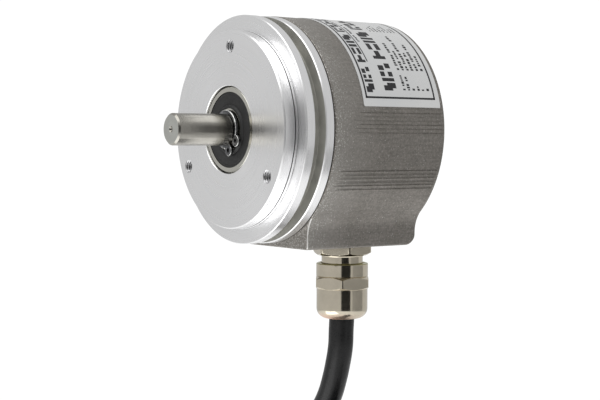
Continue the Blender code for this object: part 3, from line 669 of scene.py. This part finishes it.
def tapped_hole(spot):
    """The space inside a right-hand M4 thread that starts at the face."""
    around, rows_per_turn = 40, 8
    rows = round((HOLE_DEPTH + HOLE_LEAD) / THREAD_PITCH * rows_per_turn)
    loops = []
    for row in range(rows + 1):
        y = -HOLE_LEAD + (HOLE_DEPTH + HOLE_LEAD) * row / rows
        loop = []
        for step in range(around):
            degrees = 360 * step / around
            phase = (y / THREAD_PITCH + degrees / 360) % 1.0
            ridge = 1 - abs(2 * phase - 1)
            radius = THREAD_CORE_R + THREAD_DEPTH * min(1.0, max(0.0, 1.3 * ridge - 0.1))
            radius = min(radius, THREAD_CORE_R + 0.08) if y < 0.1 else radius
            x, z = polar(radius, degrees, spot)
            loop.append((x, y, z))
        loops.append(loop)
    return loft(loops)


def flange():
    outline = soften([
        (11.1, 0.14, 0.03), (11.24, 0.0, 0.03), (24.72, 0.0, 0.07), (25.0, 0.33, 0.07),
        (25.0, 2.94, 0.03), (24.84, 3.0, 0.0), (24.84, 3.18, 0.0), (25.02, 3.24, 0.02),
        (25.02, 3.55, 0.26), (28.78, 3.55, 0.05), (29.0, 3.78, 0.05), (29.0, 6.0, 0.04),
        (28.9, 6.1, 0.04), (26.0, 6.1, 0.18), (26.0, 9.35, 0.18), (28.78, 9.35, 0.05),
        (29.0, 9.57, 0.05), (29.0, 11.68, 0.04), (28.88, 11.8, 0.04), (26.3, 11.8, 0.0),
        (26.3, 13.2, 0.05), (24.7, 13.2, 0.1), (24.7, 15.2, 0.1), (26.3, 15.2, 0.05),
        (26.3, 16.5, 0.1), (13.0, 16.5, 0.2), (13.0, 21.5, 0.1), (11.1, 21.5, 0.1),
        (11.1, 20.9, 0.0), (11.7, 20.9, 0.0), (11.7, 19.5, 0.0), (11.1, 19.5, 0.0),
        (11.1, 10.8, 0.0), (9.3, 10.8, 0.0), (9.3, 7.7, 0.0), (11.1, 7.7, 0.0),
    ])
    body = finish_mesh(lathe(outline, 224), "flange_body", "turned_aluminium")
    holes = [tapped_hole(polar(BOLT_CIRCLE_R, angle)) for angle in BOLT_ANGLES]
    studs = [lathe([(0, 12.5), (1.6, 12.5), (1.6, 18.0), (0, 18.0)], 24, "Y",
                   polar(PILLAR_CIRCLE_R, angle)) for angle in PILLAR_ANGLES]
    carve(body, *holes, *studs)
    spots = [Vector(polar(BOLT_CIRCLE_R, angle)) for angle in BOLT_ANGLES]

    def in_groove(place, normal):
        return 6.12 < place.y < 9.45 and math.hypot(place.x, place.z) < 28.75

    def in_thread(place, normal):
        near = any((Vector((place.x, place.z)) - spot).length < THREAD_CORE_R + 0.5 for spot in spots)
        return near and 0.05 < place.y < HOLE_DEPTH + 0.5

    def inner_flank(place, normal):
        return in_thread(place, normal) and normal.y > -0.25

    def relief_line(place, normal):
        return 2.9 < place.y < 3.25 and 24.8 < math.hypot(place.x, place.z) < 24.99

    paint(body, "faced_aluminium",
          lambda place, normal: place.y < 0.02 and math.hypot(place.x, place.z) < 24.7)
    # Painted shade: the groove's faces take the darker copy of the aluminium.
    paint(body, "shaded_aluminium", in_groove)
    # Painted light and shade in the tapped holes: outward flanks take a lit grey, the rest a near-black
    # shade.
    paint(body, "thread_light", in_thread)
    paint(body, "thread_shade", inner_flank)
    # Painted shade in the relief groove.
    paint(body, "relief_shade", relief_line)
    settle(body, STATOR, "turned_aluminium", "front_flange")


# ---------------- housing

HOUSING_FRONT, HOUSING_BACK = 12.1, 47.3
HOUSING_FRONT_R, HOUSING_BACK_R = 29.1, 29.0
FOOT_HALF, FOOT_BOTTOM = 17.65, -29.85
FOOT_FILLET, FOOT_CORNER = 8.0, 0.6
FRONT_EDGE, BACK_EDGE, FOOT_BACK_EDGE = 0.28, 0.45, 3.0
GLAND_Y = 36.7
# Fine draw lines along the sides, as angles above the middle, and where each one starts.
DRAW_LINES = ((10.5, 23.0), (8.4, 17.6), (6.5, 17.0), (4.5, 16.4), (2.6, 17.4), (0.6, 16.6),
              (-1.4, 18.0), (-20.4, 13.6), (-22.5, 14.6), (-24.3, 13.8), (-26.5, 14.0),
              (-28.2, 13.4), (-30.4, 14.2))
LINE_END, LINE_HALF_WIDTH = 46.6, 0.4
LINE_DEPTH, LOW_LINE_DEPTH = 0.135, 0.19


def housing_radius(y):
    part = (y - HOUSING_FRONT) / (HOUSING_BACK - HOUSING_FRONT)
    return HOUSING_FRONT_R + (HOUSING_BACK_R - HOUSING_FRONT_R) * part


def draw_line_depth(degrees, y):
    depth = 0.0
    for middle, start in DRAW_LINES:
        across = abs(degrees - middle)
        if across < 2 * LINE_HALF_WIDTH:
            fade = smooth_step(y, start, start + 2.5) * (1 - smooth_step(y, LINE_END - 0.4, LINE_END))
            groove = max(0.0, 1 - across / LINE_HALF_WIDTH)
            ridge = max(0.0, 1 - abs(across - 1.3 * LINE_HALF_WIDTH) / (0.5 * LINE_HALF_WIDTH))
            deep = LINE_DEPTH if middle > -10 else LOW_LINE_DEPTH
            depth += fade * deep * (groove - 0.35 * ridge)
    return depth


def housing_loop(y, inset, rise):
    """The housing's outline at one place along the shaft."""
    radius, half, bottom = housing_radius(y) - inset, FOOT_HALF - inset, FOOT_BOTTOM + rise
    reach = half + FOOT_FILLET
    fillet_z = -math.sqrt((radius + FOOT_FILLET) ** 2 - reach**2)
    meets = math.degrees(math.atan2(fillet_z, reach))
    corner = (half - FOOT_CORNER, bottom + FOOT_CORNER)
    right = [(half * k / 12, bottom) for k in range(1, 12)]
    right += arc(corner, FOOT_CORNER, -90, 0, 5)
    right += arc((reach, fillet_z), FOOT_FILLET, 180, 180 + meets, 16)[0:-1]
    coarse = [meets + (-33 - meets) * k / 10 for k in range(10)]
    fine = [-33 + 0.2 * k for k in range(5 * 45)]
    top = [12 + 78 * k / 52 for k in range(53)]
    right += [polar(radius - draw_line_depth(degrees, y), degrees) for degrees in coarse + fine + top]
    left = [(-x, z) for x, z in reversed(right[:-1])]
    return [(x, y, z) for x, z in [*right, *left, (0.0, bottom)]]


def housing():
    stations = []
    for k in range(5):
        turn = math.radians(90 * k / 4)
        stations.append((HOUSING_FRONT + FRONT_EDGE * (1 - math.cos(turn)),
                         FRONT_EDGE * (1 - math.sin(turn)), FRONT_EDGE * (1 - math.sin(turn))))
    line_starts = [16.8 + 0.35 * k for k in range(16)]
    for y in (13.0, 13.7, 14.5, 15.3, 16.0, *line_starts, *range(25, 44, 3)):
        stations.append((y, 0.0, 0.0))
    for y in (44.3, 44.8, 45.2, 45.35, 45.5, 45.6, 45.7, 45.9, 46.2, 46.5, 46.7, 46.9, 47.05,
              47.16, 47.24, 47.28, HOUSING_BACK):
        edge = max(0.0, y - (HOUSING_BACK - BACK_EDGE))
        foot = max(0.0, y - (HOUSING_BACK - FOOT_BACK_EDGE))
        stations.append((y, BACK_EDGE - math.sqrt(max(0.0, BACK_EDGE**2 - edge**2)),
                         FOOT_BACK_EDGE - math.sqrt(max(0.0, FOOT_BACK_EDGE**2 - foot**2))))
    shell = finish_mesh(loft([housing_loop(*s) for s in stations]), "housing_shell", "cast_housing")
    cavity = lathe([(0, 10.0), (26.6, 10.0), (26.6, 44.2), (26.2, 44.6), (0, 44.6)], 128)
    screws = [lathe([(0, 43.6), (1.5, 43.6), (1.5, 45.4), (2.9, 45.4), (2.9, 47.1), (3.1, 47.3),
                     (3.1, 48.5), (0, 48.5)], 40, "Y", polar(PILLAR_CIRCLE_R, angle))
              for angle in PILLAR_ANGLES]
    gland_hole = lathe([(0, -31.0), (7.6, -31.0), (7.6, -28.9), (6.2, -28.9), (6.2, -24.0),
                        (0, -24.0)], 48, "Z", (0.0, GLAND_Y))
    carve(shell, cavity, *screws, gland_hole)

    def foot_edge(place, normal):
        on_bevel = HOUSING_FRONT + 0.02 < place.y < HOUSING_FRONT + FRONT_EDGE
        return on_bevel and abs(place.x) > FOOT_HALF - 0.4 and -29.6 < place.z < -22.0

    # Painted highlight: the front bevel at the sides of the foot takes the pale finish.
    paint(shell, "worn_edge", foot_edge)
    # Painted shade: the bevel round the back edge takes the near-black finish.
    paint(shell, "dark_edge", lambda place, normal: 0.01 < HOUSING_BACK - place.y < 0.32)
    settle(shell, STATOR, "cast_housing", "housing_cap")


# ---------------- label

LABEL_START_DEG, LABEL_END_DEG = 11.4, 135.0
LABEL_FRONT, LABEL_BACK = 21.2, 46.0
LABEL_LIFT, LABEL_THICK, INK_LIFT = 0.03, 0.13, 0.012


def label_point(along, y, lift):
    """A place on the label: along is the distance round the housing from its lower end."""
    radius = housing_radius(y) + LABEL_LIFT + lift
    x, z = polar(radius, LABEL_START_DEG + math.degrees(along / HOUSING_FRONT_R))
    return x, y, z


def label_length():
    return math.radians(LABEL_END_DEG - LABEL_START_DEG) * HOUSING_FRONT_R


def label_film_sheet():
    loops = []
    steps = 120
    for step in range(steps + 1):
        along = label_length() * step / steps
        trim = 0.12 if step in (0, steps) else 0.0
        front, back = LABEL_FRONT + trim, LABEL_BACK - trim
        rows = [front + (back - front) * k / 12 for k in range(13)]
        loop = [label_point(along, y, LABEL_THICK) for y in rows]
        loop += [label_point(along, y, 0.0) for y in reversed(rows)]
        loops.append(loop)
    add_piece(loft(loops), "label_sheet", STATOR, "label_film", "name_label")


def word_length(seed, shortest, longest):
    """A length that looks random but is the same on every run."""
    return shortest + (longest - shortest) * (math.sin(seed * 12.9898) * 43758.5453 % 1.0)


# Small abstract patterns: bars as (from, to) along the row and (front, back) across it.
BAR_PATTERNS = (
    ((0, 0.4, 0, 1), (0.62, 1, 0, 1)),
    ((0, 1, 0, 0.34), (0, 1, 0.64, 1)),
    ((0, 0.36, 0, 1), (0.36, 1, 0.3, 0.7)),
    ((0, 0.7, 0, 0.45), (0.3, 1, 0.58, 1)),
    ((0, 0.34, 0, 1), (0.5, 1, 0, 0.36), (0.5, 1, 0.64, 1)),
    ((0, 0.3, 0, 0.7), (0.3, 0.66, 0, 1), (0.66, 1, 0.3, 1)),
)


def bold_row(start, stop, front, back, cell):
    """Cells of bars, each with another pattern."""
    bars, along, number = [], start, 1
    while along < stop:
        long = cell * word_length(number + front, 0.8, 1.15)
        for a, b, c, d in BAR_PATTERNS[number * 5 % len(BAR_PATTERNS)]:
            bars.append((along + a * long, along + b * long,
                         front + c * (back - front), front + d * (back - front)))
        along += long + (1.4 if number % 4 == 3 else 0.4)
        number += 1
    return bars


def small_print(start, stop, front, high, seed):
    """A line of tiny marks of uneven length and height, with word gaps."""
    bars, along, number = [], start, seed
    while along < stop:
        long = word_length(number, 0.35, 0.75)
        top = front + high * word_length(number + 0.3, 0.0, 0.25)
        bars.append((along, along + long, top, front + high * word_length(number + 0.7, 0.72, 1.0)))
        along += long + (0.75 if number % 5 == 0 else 0.2)
        number += 1
    return bars


def label_bars():
    """Generic print: a ruled frame, two bold rows of bars and columns of tiny marks."""
    end = label_length()
    front, back, low, high = 22.0, 44.6, 2.05, end - 1.8
    line, thin = 0.5, 0.32
    bars = [(low, high, front, front + line), (low, high, back - line, back),
            (low, low + line, front, back), (high - line, high, front, back),
            (12.3, high, 25.75, 25.75 + thin)]
    bars += bold_row(3.6, end - 5, 22.85, 25.4, 2.2)
    bars += bold_row(4.2, 31, 28.6, 32.5, 2.5)
    bars += small_print(19.5, 28.0, 26.6, 0.8, 7)
    words = ((4.4, 34.45, 60, 13, (8.2, 7.6, 4.6, 5.2, 4.6, 5.2)),
             (10.1, 34.4, 200, 17, (20.0, 16.2, 22.5, 15.6, 19.0, 14.8)))
    for start, top, seed, skip, stops in words:
        for column, stop in enumerate(stops):
            bars += small_print(start, stop, top + 1.56 * column, 1.05, seed + skip * column)
    for column in range(8):
        bars += small_print(25.2, 27.2 + column % 3, 34.4 + 1.15 * column, 0.6, 500 + 11 * column)
    return bars


def label_marks():
    bm = bmesh.new()
    for start, stop, front, back in label_bars():
        steps = max(1, math.ceil((stop - start) / 0.5))
        slices = max(1, math.ceil((back - front) / 2.5))
        grid = []
        for k in range(steps + 1):
            row = []
            for j in range(slices + 1):
                y = front + (back - front) * j / slices
                along = start + (stop - start) * k / steps
                row.append(bm.verts.new(Vector(label_point(along, y, LABEL_THICK + INK_LIFT)) * MM))
            grid.append(row)
        for row, after in zip(grid, grid[1:]):
            for a, b, c, d in zip(row, after, after[1:], row[1:]):
                bm.faces.new([a, b, c, d])
    for face in bm.faces:
        face.normal_update()
        middle = face.calc_center_median()
        if face.normal.dot(Vector((middle.x, 0, middle.z))) < 0:
            face.normal_flip()
    mesh = bpy.data.meshes.new("label_print")
    bm.to_mesh(mesh)
    bm.free()
    mesh.shade_smooth()
    mesh.materials.append(looks["ink"])
    settle(placed("label_print", mesh), STATOR, "label_film")


# ---------------- bearing, clip and shaft

def bearing_front():
    outer = soften([
        (10.6, 0.4, 0.0), (10.9, 0.7, 0.25), (10.9, 7.4, 0.2), (9.75, 7.4, 0.1), (9.75, 6.4, 0.0),
        (9.42, 6.2, 0.0), (9.52, 5.39, 0.0), (9.65, 3.9, 0.0), (9.52, 2.41, 0.0), (9.42, 1.6, 0.0),
        (9.75, 1.4, 0.0), (9.75, 0.85, 0.05), (9.55, 0.4, 0.06),
    ])
    add_piece(lathe(outer, 128), "bearing_outer_race", STATOR, "bearing_steel",
              "front_bearing_outer_ring")

    inner = soften([
        (4.2, 0.55, 0.08), (4.4, 0.4, 0.05), (5.75, 0.4, 0.08), (5.9, 0.55, 0.05), (5.9, 2.35, 0.0),
        (5.5, 3.1, 0.0), (5.35, 3.9, 0.0), (5.5, 4.7, 0.0), (5.9, 5.45, 0.0), (5.9, 7.4, 0.1),
        (4.2, 7.4, 0.1),
    ])
    add_piece(lathe(inner, 96), "bearing_inner_race", ROTOR, "bearing_steel",
              "front_bearing_inner_ring")

    lip = soften([
        (5.42, 0.2, 0.06), (5.9, 0.2, 0.1), (6.18, 0.5, 0.1), (6.32, 0.72, 0.06), (6.75, 0.6, 0.2),
        (8.7, 0.6, 0.15), (8.85, 0.72, 0.06), (9.05, 0.55, 0.06), (9.5, 0.55, 0.1),
        (9.5, 1.15, 0.1), (6.3, 1.15, 0.1), (6.05, 0.36, 0.05), (5.42, 0.34, 0.04),
    ])
    add_piece(lathe(lip, 128), "bearing_seal_lip", STATOR, "seal_rubber", "front_bearing_seal")


CLIP_FRONT, CLIP_BACK = -0.7, 0.1
CLIP_GAP_DEG = -54.0
CLIP_EYES_DEG = (-22.3, 22.3)
CLIP_OPENING_DEG = 14
CLIP_INNER_R, CLIP_NARROW, CLIP_SWELL = 3.85, 0.82, 0.36
CLIP_EDGE, EAR_EDGE = 0.14, 0.08
EAR_CIRCLE_R, EAR_R, EYE_R = 5.3, 1.45, 0.6


def retaining_clip():
    """A split ring that narrows away from its two eyes, with bright edges that are partly rubbed wear
    and partly a painted highlight.
    """
    loops = []
    steps = 96
    for step in range(steps + 1):
        degrees = CLIP_GAP_DEG + CLIP_OPENING_DEG + (360 - 2 * CLIP_OPENING_DEG) * step / steps
        wide = CLIP_NARROW + CLIP_SWELL * math.sin(math.pi * step / steps)
        inner, outer = CLIP_INNER_R, CLIP_INNER_R + wide
        loop = []
        for radius, y in ((inner + CLIP_EDGE, CLIP_FRONT), (outer - CLIP_EDGE, CLIP_FRONT),
                          (outer, CLIP_FRONT + CLIP_EDGE), (outer, CLIP_BACK - CLIP_EDGE),
                          (outer - CLIP_EDGE, CLIP_BACK), (inner + CLIP_EDGE, CLIP_BACK),
                          (inner, CLIP_BACK - CLIP_EDGE), (inner, CLIP_FRONT + CLIP_EDGE)):
            x, z = polar(radius, degrees)
            loop.append((x, y, z))
        loops.append(loop)
    clip = finish_mesh(loft(loops), "retaining_clip", "spring_steel")
    spots = [polar(EAR_CIRCLE_R, CLIP_GAP_DEG + side) for side in CLIP_EYES_DEG]
    ear = [(0, CLIP_FRONT), (EAR_R - EAR_EDGE, CLIP_FRONT), (EAR_R, CLIP_FRONT + EAR_EDGE),
           (EAR_R, CLIP_BACK - EAR_EDGE), (EAR_R - EAR_EDGE, CLIP_BACK), (0, CLIP_BACK)]
    carve(clip, *(lathe(ear, 28, "Y", spot) for spot in spots), operation="UNION")
    eye = [(0, -2), (EYE_R, -2), (EYE_R, 2), (0, 2)]
    carve(clip, *(lathe(eye, 20, "Y", spot) for spot in spots))
    weld = clip.modifiers.new("weld", "WELD")
    weld.merge_threshold = 0.02 * MM
    apply_modifiers(clip)
    # The bevels take the bright finish: partly rubbed wear, partly a painted highlight.
    paint(clip, "edge_wear_and_highlight", lambda place, normal: 0.15 < abs(normal.y) < 0.97)
    settle(clip, ROTOR, "spring_steel", "shaft_retaining_ring")


SHAFT_R, SHAFT_TIP, SHAFT_BACK = 4.0, -16.5, 29.4
SHAFT_CHAMFER = 0.46


def shaft():
    outline = soften([
        (0, SHAFT_TIP + 1.5, 0.0), (0.38, SHAFT_TIP + 1.2, 0.0), (0.38, SHAFT_TIP + 0.72, 0.03),
        (0.8, SHAFT_TIP, 0.04), (SHAFT_R - SHAFT_CHAMFER, SHAFT_TIP, 0.05),
        (SHAFT_R, SHAFT_TIP + SHAFT_CHAMFER, 0.08), (SHAFT_R, -0.9, 0.03), (3.65, -0.9, 0.0),
        (3.65, 0.3, 0.0), (SHAFT_R, 0.3, 0.03), (SHAFT_R, SHAFT_BACK - 0.3, 0.05),
        (SHAFT_R - 0.3, SHAFT_BACK, 0.05), (0, SHAFT_BACK, 0.0),
    ])
    rod = finish_mesh(lathe(outline, 96), "shaft_ground", "ground_steel")
    paint(rod, "faced_end", lambda place, normal: place.y < SHAFT_TIP + 0.02)
    settle(rod, ROTOR, "ground_steel", "shaft")


# ---------------- gland and screws

HEX_FLATS, HEX_CORNER_R = 14.0, 7.95
BODY_HEX_DEG, COLLAR_HEX_DEG = -22.4, -37.0
SLOPE_30 = math.tan(math.radians(30))


def hex_radius(degrees, corner_deg):
    across = (degrees - corner_deg) % 60 - 30
    return HEX_FLATS / 2 / math.cos(math.radians(across))


def hex_turned(rows, corner_deg):
    """Loops of a turned shape that is cut to a hexagon wherever it is wider than the flats."""
    loops = []
    for limit, z in rows:
        loop = []
        for step in range(360):
            degrees = corner_deg + step
            x, y = polar(min(limit, hex_radius(degrees, corner_deg)), degrees, (0.0, GLAND_Y))
            loop.append((x, y, z))
        loops.append(loop)
    return loft(loops, "ring")


def chamfer_rows(start_r, start_z, step_z):
    """The 30 degree chamfer that rounds off a hexagon's corners, from its end face inwards."""
    high = (HEX_CORNER_R - start_r) * SLOPE_30
    return [(start_r + (HEX_CORNER_R - start_r) * k / 9, start_z + step_z * high * k / 9)
            for k in range(10)]


def gland_base():
    under = chamfer_rows(6.6, -33.2, 1)
    rows = [
        (3.3, -22.5), (5.6, -22.5), (5.9, -22.8), (5.9, -30.15), (7.8, -30.15), (HEX_CORNER_R, -30.3),
        *reversed(under), (5.95, -33.2), (5.65, -33.27), (5.56, -33.45), (5.55, -33.65),
        (5.55, -34.8),
        (5.55, -40.8), (5.35, -41.0), (4.8, -41.0), (4.8, -36.0), (3.3, -36.0),
    ]
    add_piece(hex_turned(rows, BODY_HEX_DEG), "gland_base", STATOR, "nickel_brass", "gland_body")


def gland_cap():
    top = chamfer_rows(7.0, -38.98, -1)
    under = chamfer_rows(7.1, -42.1, 1)
    dome = [(3.85 + 3.02 * math.cos(math.radians(9 * k)), -47.5 - 2.75 * math.sin(math.radians(9 * k)))
            for k in range(11)]
    rows = [
        (5.9, -36.2), (5.92, -35.8), (6.3, -35.42), (6.5, -35.32), (6.7, -35.32), (6.86, -35.38),
        (6.95, -35.52), (6.97, -35.65), (6.97, -35.8), (6.97, -38.6), (6.97, -38.72),
        (6.88, -38.8), (6.74, -38.9), (6.8, -38.98), *top, *reversed(under), (6.95, -42.14),
        (6.88, -42.22), (6.87, -42.34), (6.87, -42.5), (6.87, -47.3), *dome, (3.78, -50.17),
        (3.7, -50.0), (3.7, -48.6), (3.75, -48.3), (5.9, -47.2),
    ]
    add_piece(hex_turned(rows, COLLAR_HEX_DEG), "gland_cap", STATOR, "nickel_brass", "gland_cap_nut")


def cover_screws():
    """Socket screws in the back of the housing, each with a rounded head and a hex socket."""
    for number, angle in enumerate(PILLAR_ANGLES, 1):
        spot = polar(PILLAR_CIRCLE_R, angle)
        outline = soften([(0, 39.5, 0), (0.8, 39.5, 0.1), (1.0, 39.7, 0.05), (1.0, 45.7, 0.0),
                          (2.6, 45.7, 0.08), (2.6, 47.2, 0.28), (0, 47.2, 0)])
        screw = finish_mesh(lathe(outline, 48, "Y", spot), f"cover_screw_{number}", "zinc_steel")
        corners = [polar(1.2, 60 * k + angle, spot) for k in range(6)]
        socket = loft([[(x, y, z) for x, z in corners] for y in (46.3, 48.0)])
        carve(screw, socket)
        settle(screw, STATOR, "zinc_steel", f"housing_screw_{number}")


# ---------------- cable

CABLE_D = 6.8
CABLE_ROUTE = (
    (0.0, -49.6), (-0.15, -51.5), (-0.33, -54.0), (-0.45, -57.0), (-0.9, -59.8),
    (-1.6, -62.4), (-2.4, -65.1), (-3.35, -67.7), (-4.7, -70.9), (-6.75, -74.3), (-9.7, -77.9),
    (-13.2, -81.6), (-17.2, -85.6), (-21.1, -89.5), (-24.8, -93.2),
)
COIL_X, COIL_Z, COIL_R = 4.0, -122.0, 35.0
COIL_STRAND_R = 5.8
COIL_ENTRY_DEG = 135
TAIL_LEAVES_DEG = 215
COIL_TURNS = 4 + (TAIL_LEAVES_DEG - COIL_ENTRY_DEG) / 360
STRAND_TURN_DEG = 72
TAIL_OFFSET_DEG = 304
TAIL_LENGTH = 45.0
TAIL_SAG = 0.004
TIE_DEG, TIE_INNER, TIE_THICK, TIE_WIDE = 60, 9.4, 1.0, 4.6
WIRES = (
    ("white", (0.80, 0.80, 0.78)), ("brown", (0.16, 0.06, 0.025)), ("green", (0.03, 0.26, 0.07)),
    ("yellow", (0.75, 0.55, 0.04)), ("grey", (0.28, 0.28, 0.29)), ("pink", (0.75, 0.30, 0.36)),
    ("blue", (0.03, 0.09, 0.42)), ("red", (0.52, 0.03, 0.02)),
)


def smooth_curve(points, per_span):
    """A Catmull-Rom curve through the points."""
    route = [Vector(p) for p in points]
    route = [2 * route[0] - route[1], *route, 2 * route[-1] - route[-2]]
    fine = []
    for a, b, c, d in zip(route, route[1:], route[2:], route[3:]):
        for k in range(per_span):
            t = k / per_span
            fine.append(0.5 * (2 * b + (c - a) * t + (2 * a - 5 * b + 4 * c - d) * t**2
                               + (3 * b - a - 3 * c + d) * t**3))
    return [*fine, route[-2]]


def coil_points():
    """Turns that lie side by side round a bundle, each a fifth of the way round it."""
    spots = []
    steps = round(COIL_TURNS * 40)
    for step in range(1, steps):
        along = COIL_TURNS * step / steps
        strand = math.radians(STRAND_TURN_DEG * along)
        radius = COIL_R + COIL_STRAND_R * math.cos(strand)
        x, z = polar(radius, COIL_ENTRY_DEG + 360 * along, (COIL_X, COIL_Z))
        spots.append(Vector((x, GLAND_Y + COIL_STRAND_R * math.sin(strand), z)))
    return spots


def tail_points():
    """The end leaves the coil on a tangent and sags a little."""
    strand = math.radians(TAIL_OFFSET_DEG)
    x, z = polar(COIL_R + COIL_STRAND_R * math.cos(strand), TAIL_LEAVES_DEG, (COIL_X, COIL_Z))
    start = Vector((x, GLAND_Y + COIL_STRAND_R * math.sin(strand), z))
    turn = math.radians(TAIL_LEAVES_DEG)
    heading = Vector((-math.sin(turn), 0, math.cos(turn)))
    runs = [TAIL_LENGTH * k / 12 for k in range(13)]
    return [start + heading * run + Vector((0, 0, -TAIL_SAG * run**2)) for run in runs]


def cord_curve(name, points, diameter, finish, resolution=6):
    data = bpy.data.curves.new(name, "CURVE")
    data.dimensions = "3D"
    data.bevel_depth = diameter / 2 * MM
    data.bevel_resolution = resolution
    data.use_fill_caps = True
    spline = data.splines.new("POLY")
    spline.points.add(len(points) - 1)
    for spot, point in zip(spline.points, points):
        spot.co = (*(point * MM), 1.0)
    spline.use_smooth = True
    data.materials.append(looks[finish])
    return placed(name, data)


def set_along(shape, place, heading):
    """Turn a shape made along Z to lie along a heading at a place."""
    turn = Vector((0, 0, 1)).rotation_difference(heading).to_matrix().to_4x4()
    bmesh.ops.transform(shape, matrix=Matrix.Translation(place * MM) @ turn, verts=shape.verts)
    return shape


def lead_fan(end, heading):
    """Eight insulated leads that fan out of the jacket, each with a crimped ferrule."""
    side = heading.cross(Vector((0, 1, 0))).normalized()
    over = heading.cross(side).normalized()
    pieces = []
    for number, (name, colour) in enumerate(WIRES):
        looks[name] = soft_plastic(f"lead_{name}", colour, 0.35)
        turn = 2 * math.pi * number / len(WIRES)
        outward = side * math.cos(turn) + over * math.sin(turn)
        long = 20.0 + 2.5 * math.sin(2.3 * number)
        path = [end + heading * (long * t - 1.5) + outward * (1.55 + 1.1 * t**2)
                for t in (0, 0.15, 0.3, 0.45, 0.6, 0.8, 1.0)]
        wire = cord_curve(f"lead_{name}", path, 1.05, name, 3)
        settle(wire, STATOR, "lead_wires", *(["cable_leads"] if number == 0 else []))
        outline = soften([(0, -0.2, 0), (0.62, -0.2, 0.1), (0.62, 1.6, 0.1), (0.36, 2.0, 0),
                          (0.36, 5.4, 0.1), (0, 5.4, 0)], 2)
        ferrule = set_along(lathe(outline, 14, "Z"), path[-1], (path[-1] - path[-2]).normalized())
        pieces += [wire, add_piece(ferrule, f"ferrule_{name}", STATOR, "zinc_steel")]
    return pieces


def jacket_sleeve(end, heading):
    """Shrink sleeve over the end of the jacket."""
    outline = soften([(3.42, -8.0, 0), (3.75, -8.0, 0.25), (3.77, 0.6, 0.35), (2.9, 1.4, 0.3),
                      (2.7, 0.4, 0.2), (3.42, -0.4, 0)], 3)
    sleeve = set_along(lathe(outline, 40, "Z"), end, heading)
    return add_piece(sleeve, "jacket_sleeve", STATOR, "seal_rubber")


def rounded_block(size, middle, rounding):
    bm = bmesh.new()
    bmesh.ops.create_cube(bm, size=1.0)
    bmesh.ops.scale(bm, vec=Vector(size) * MM, verts=bm.verts)
    bmesh.ops.translate(bm, vec=Vector(middle) * MM, verts=bm.verts)
    bmesh.ops.bevel(bm, geom=bm.edges[:], offset=rounding * MM, segments=3, affect="EDGES")
    return bm


def cable_tie():
    """A toothed strap round the bundle with its locking head and cut end."""
    loops = []
    for step in range(120):
        a, b = polar(1.0, 3 * step)
        tooth = 0.12 if step % 2 and 8 < step < 112 else 0.0
        corners = ((TIE_INNER, -TIE_WIDE / 2), (TIE_INNER, TIE_WIDE / 2),
                   (TIE_INNER + TIE_THICK + tooth, TIE_WIDE / 2 - 0.3),
                   (TIE_INNER + TIE_THICK + tooth, -TIE_WIDE / 2 + 0.3))
        loops.append([(r * a, r * b, h) for r, h in corners])
    strap = loft(loops, "ring")
    head = rounded_block((3.6, 5.6, 6.2), (TIE_INNER + 1.9, 0, 0), 0.6)
    cut_end = rounded_block((1.1, 5.0, 4.2), (TIE_INNER + 1.9, 4.2, 0), 0.2)
    whole = joined([strap, head, cut_end])
    x, z = polar(COIL_R, TIE_DEG, (COIL_X, COIL_Z))
    lean = Matrix.Rotation(-math.radians(TIE_DEG), 4, "Y")
    bmesh.ops.transform(whole, matrix=Matrix.Translation(Vector((x, GLAND_Y, z)) * MM) @ lean,
                        verts=whole.verts)
    return add_piece(whole, "cable_tie_strap", STATOR, "black_plastic", "cable_tie")


def add_cable():
    route = smooth_curve([(x, GLAND_Y, z) for x, z in CABLE_ROUTE], 3)
    tail = tail_points()
    cable = cord_curve("cable_run", [*route, *coil_points(), *tail], CABLE_D, "cable_jacket")
    settle(cable, STATOR, "cable_jacket", "cable", "cable_coil", "cable_tail")
    heading = (tail[-1] - tail[-2]).normalized()
    fittings = [cable_tie(), jacket_sleeve(tail[-1], heading), *lead_fan(tail[-1], heading)]


# ---------------- carried-over nodes

def finish_cad_nodes():
    """Every CAD node that still shows gets the procedural finish of its material slot."""
    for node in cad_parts.values():
        for slot in node.material_slots:
            name = slot.material.name.split(".")[0]
            slot.material = looks[name]


add_camera()
make_looks()
add_stage()
finish_cad_nodes()
add_cable()
flange()
housing()
label_film_sheet()
label_marks()
bearing_front()
retaining_clip()
shaft()
gland_base()
gland_cap()
cover_screws()
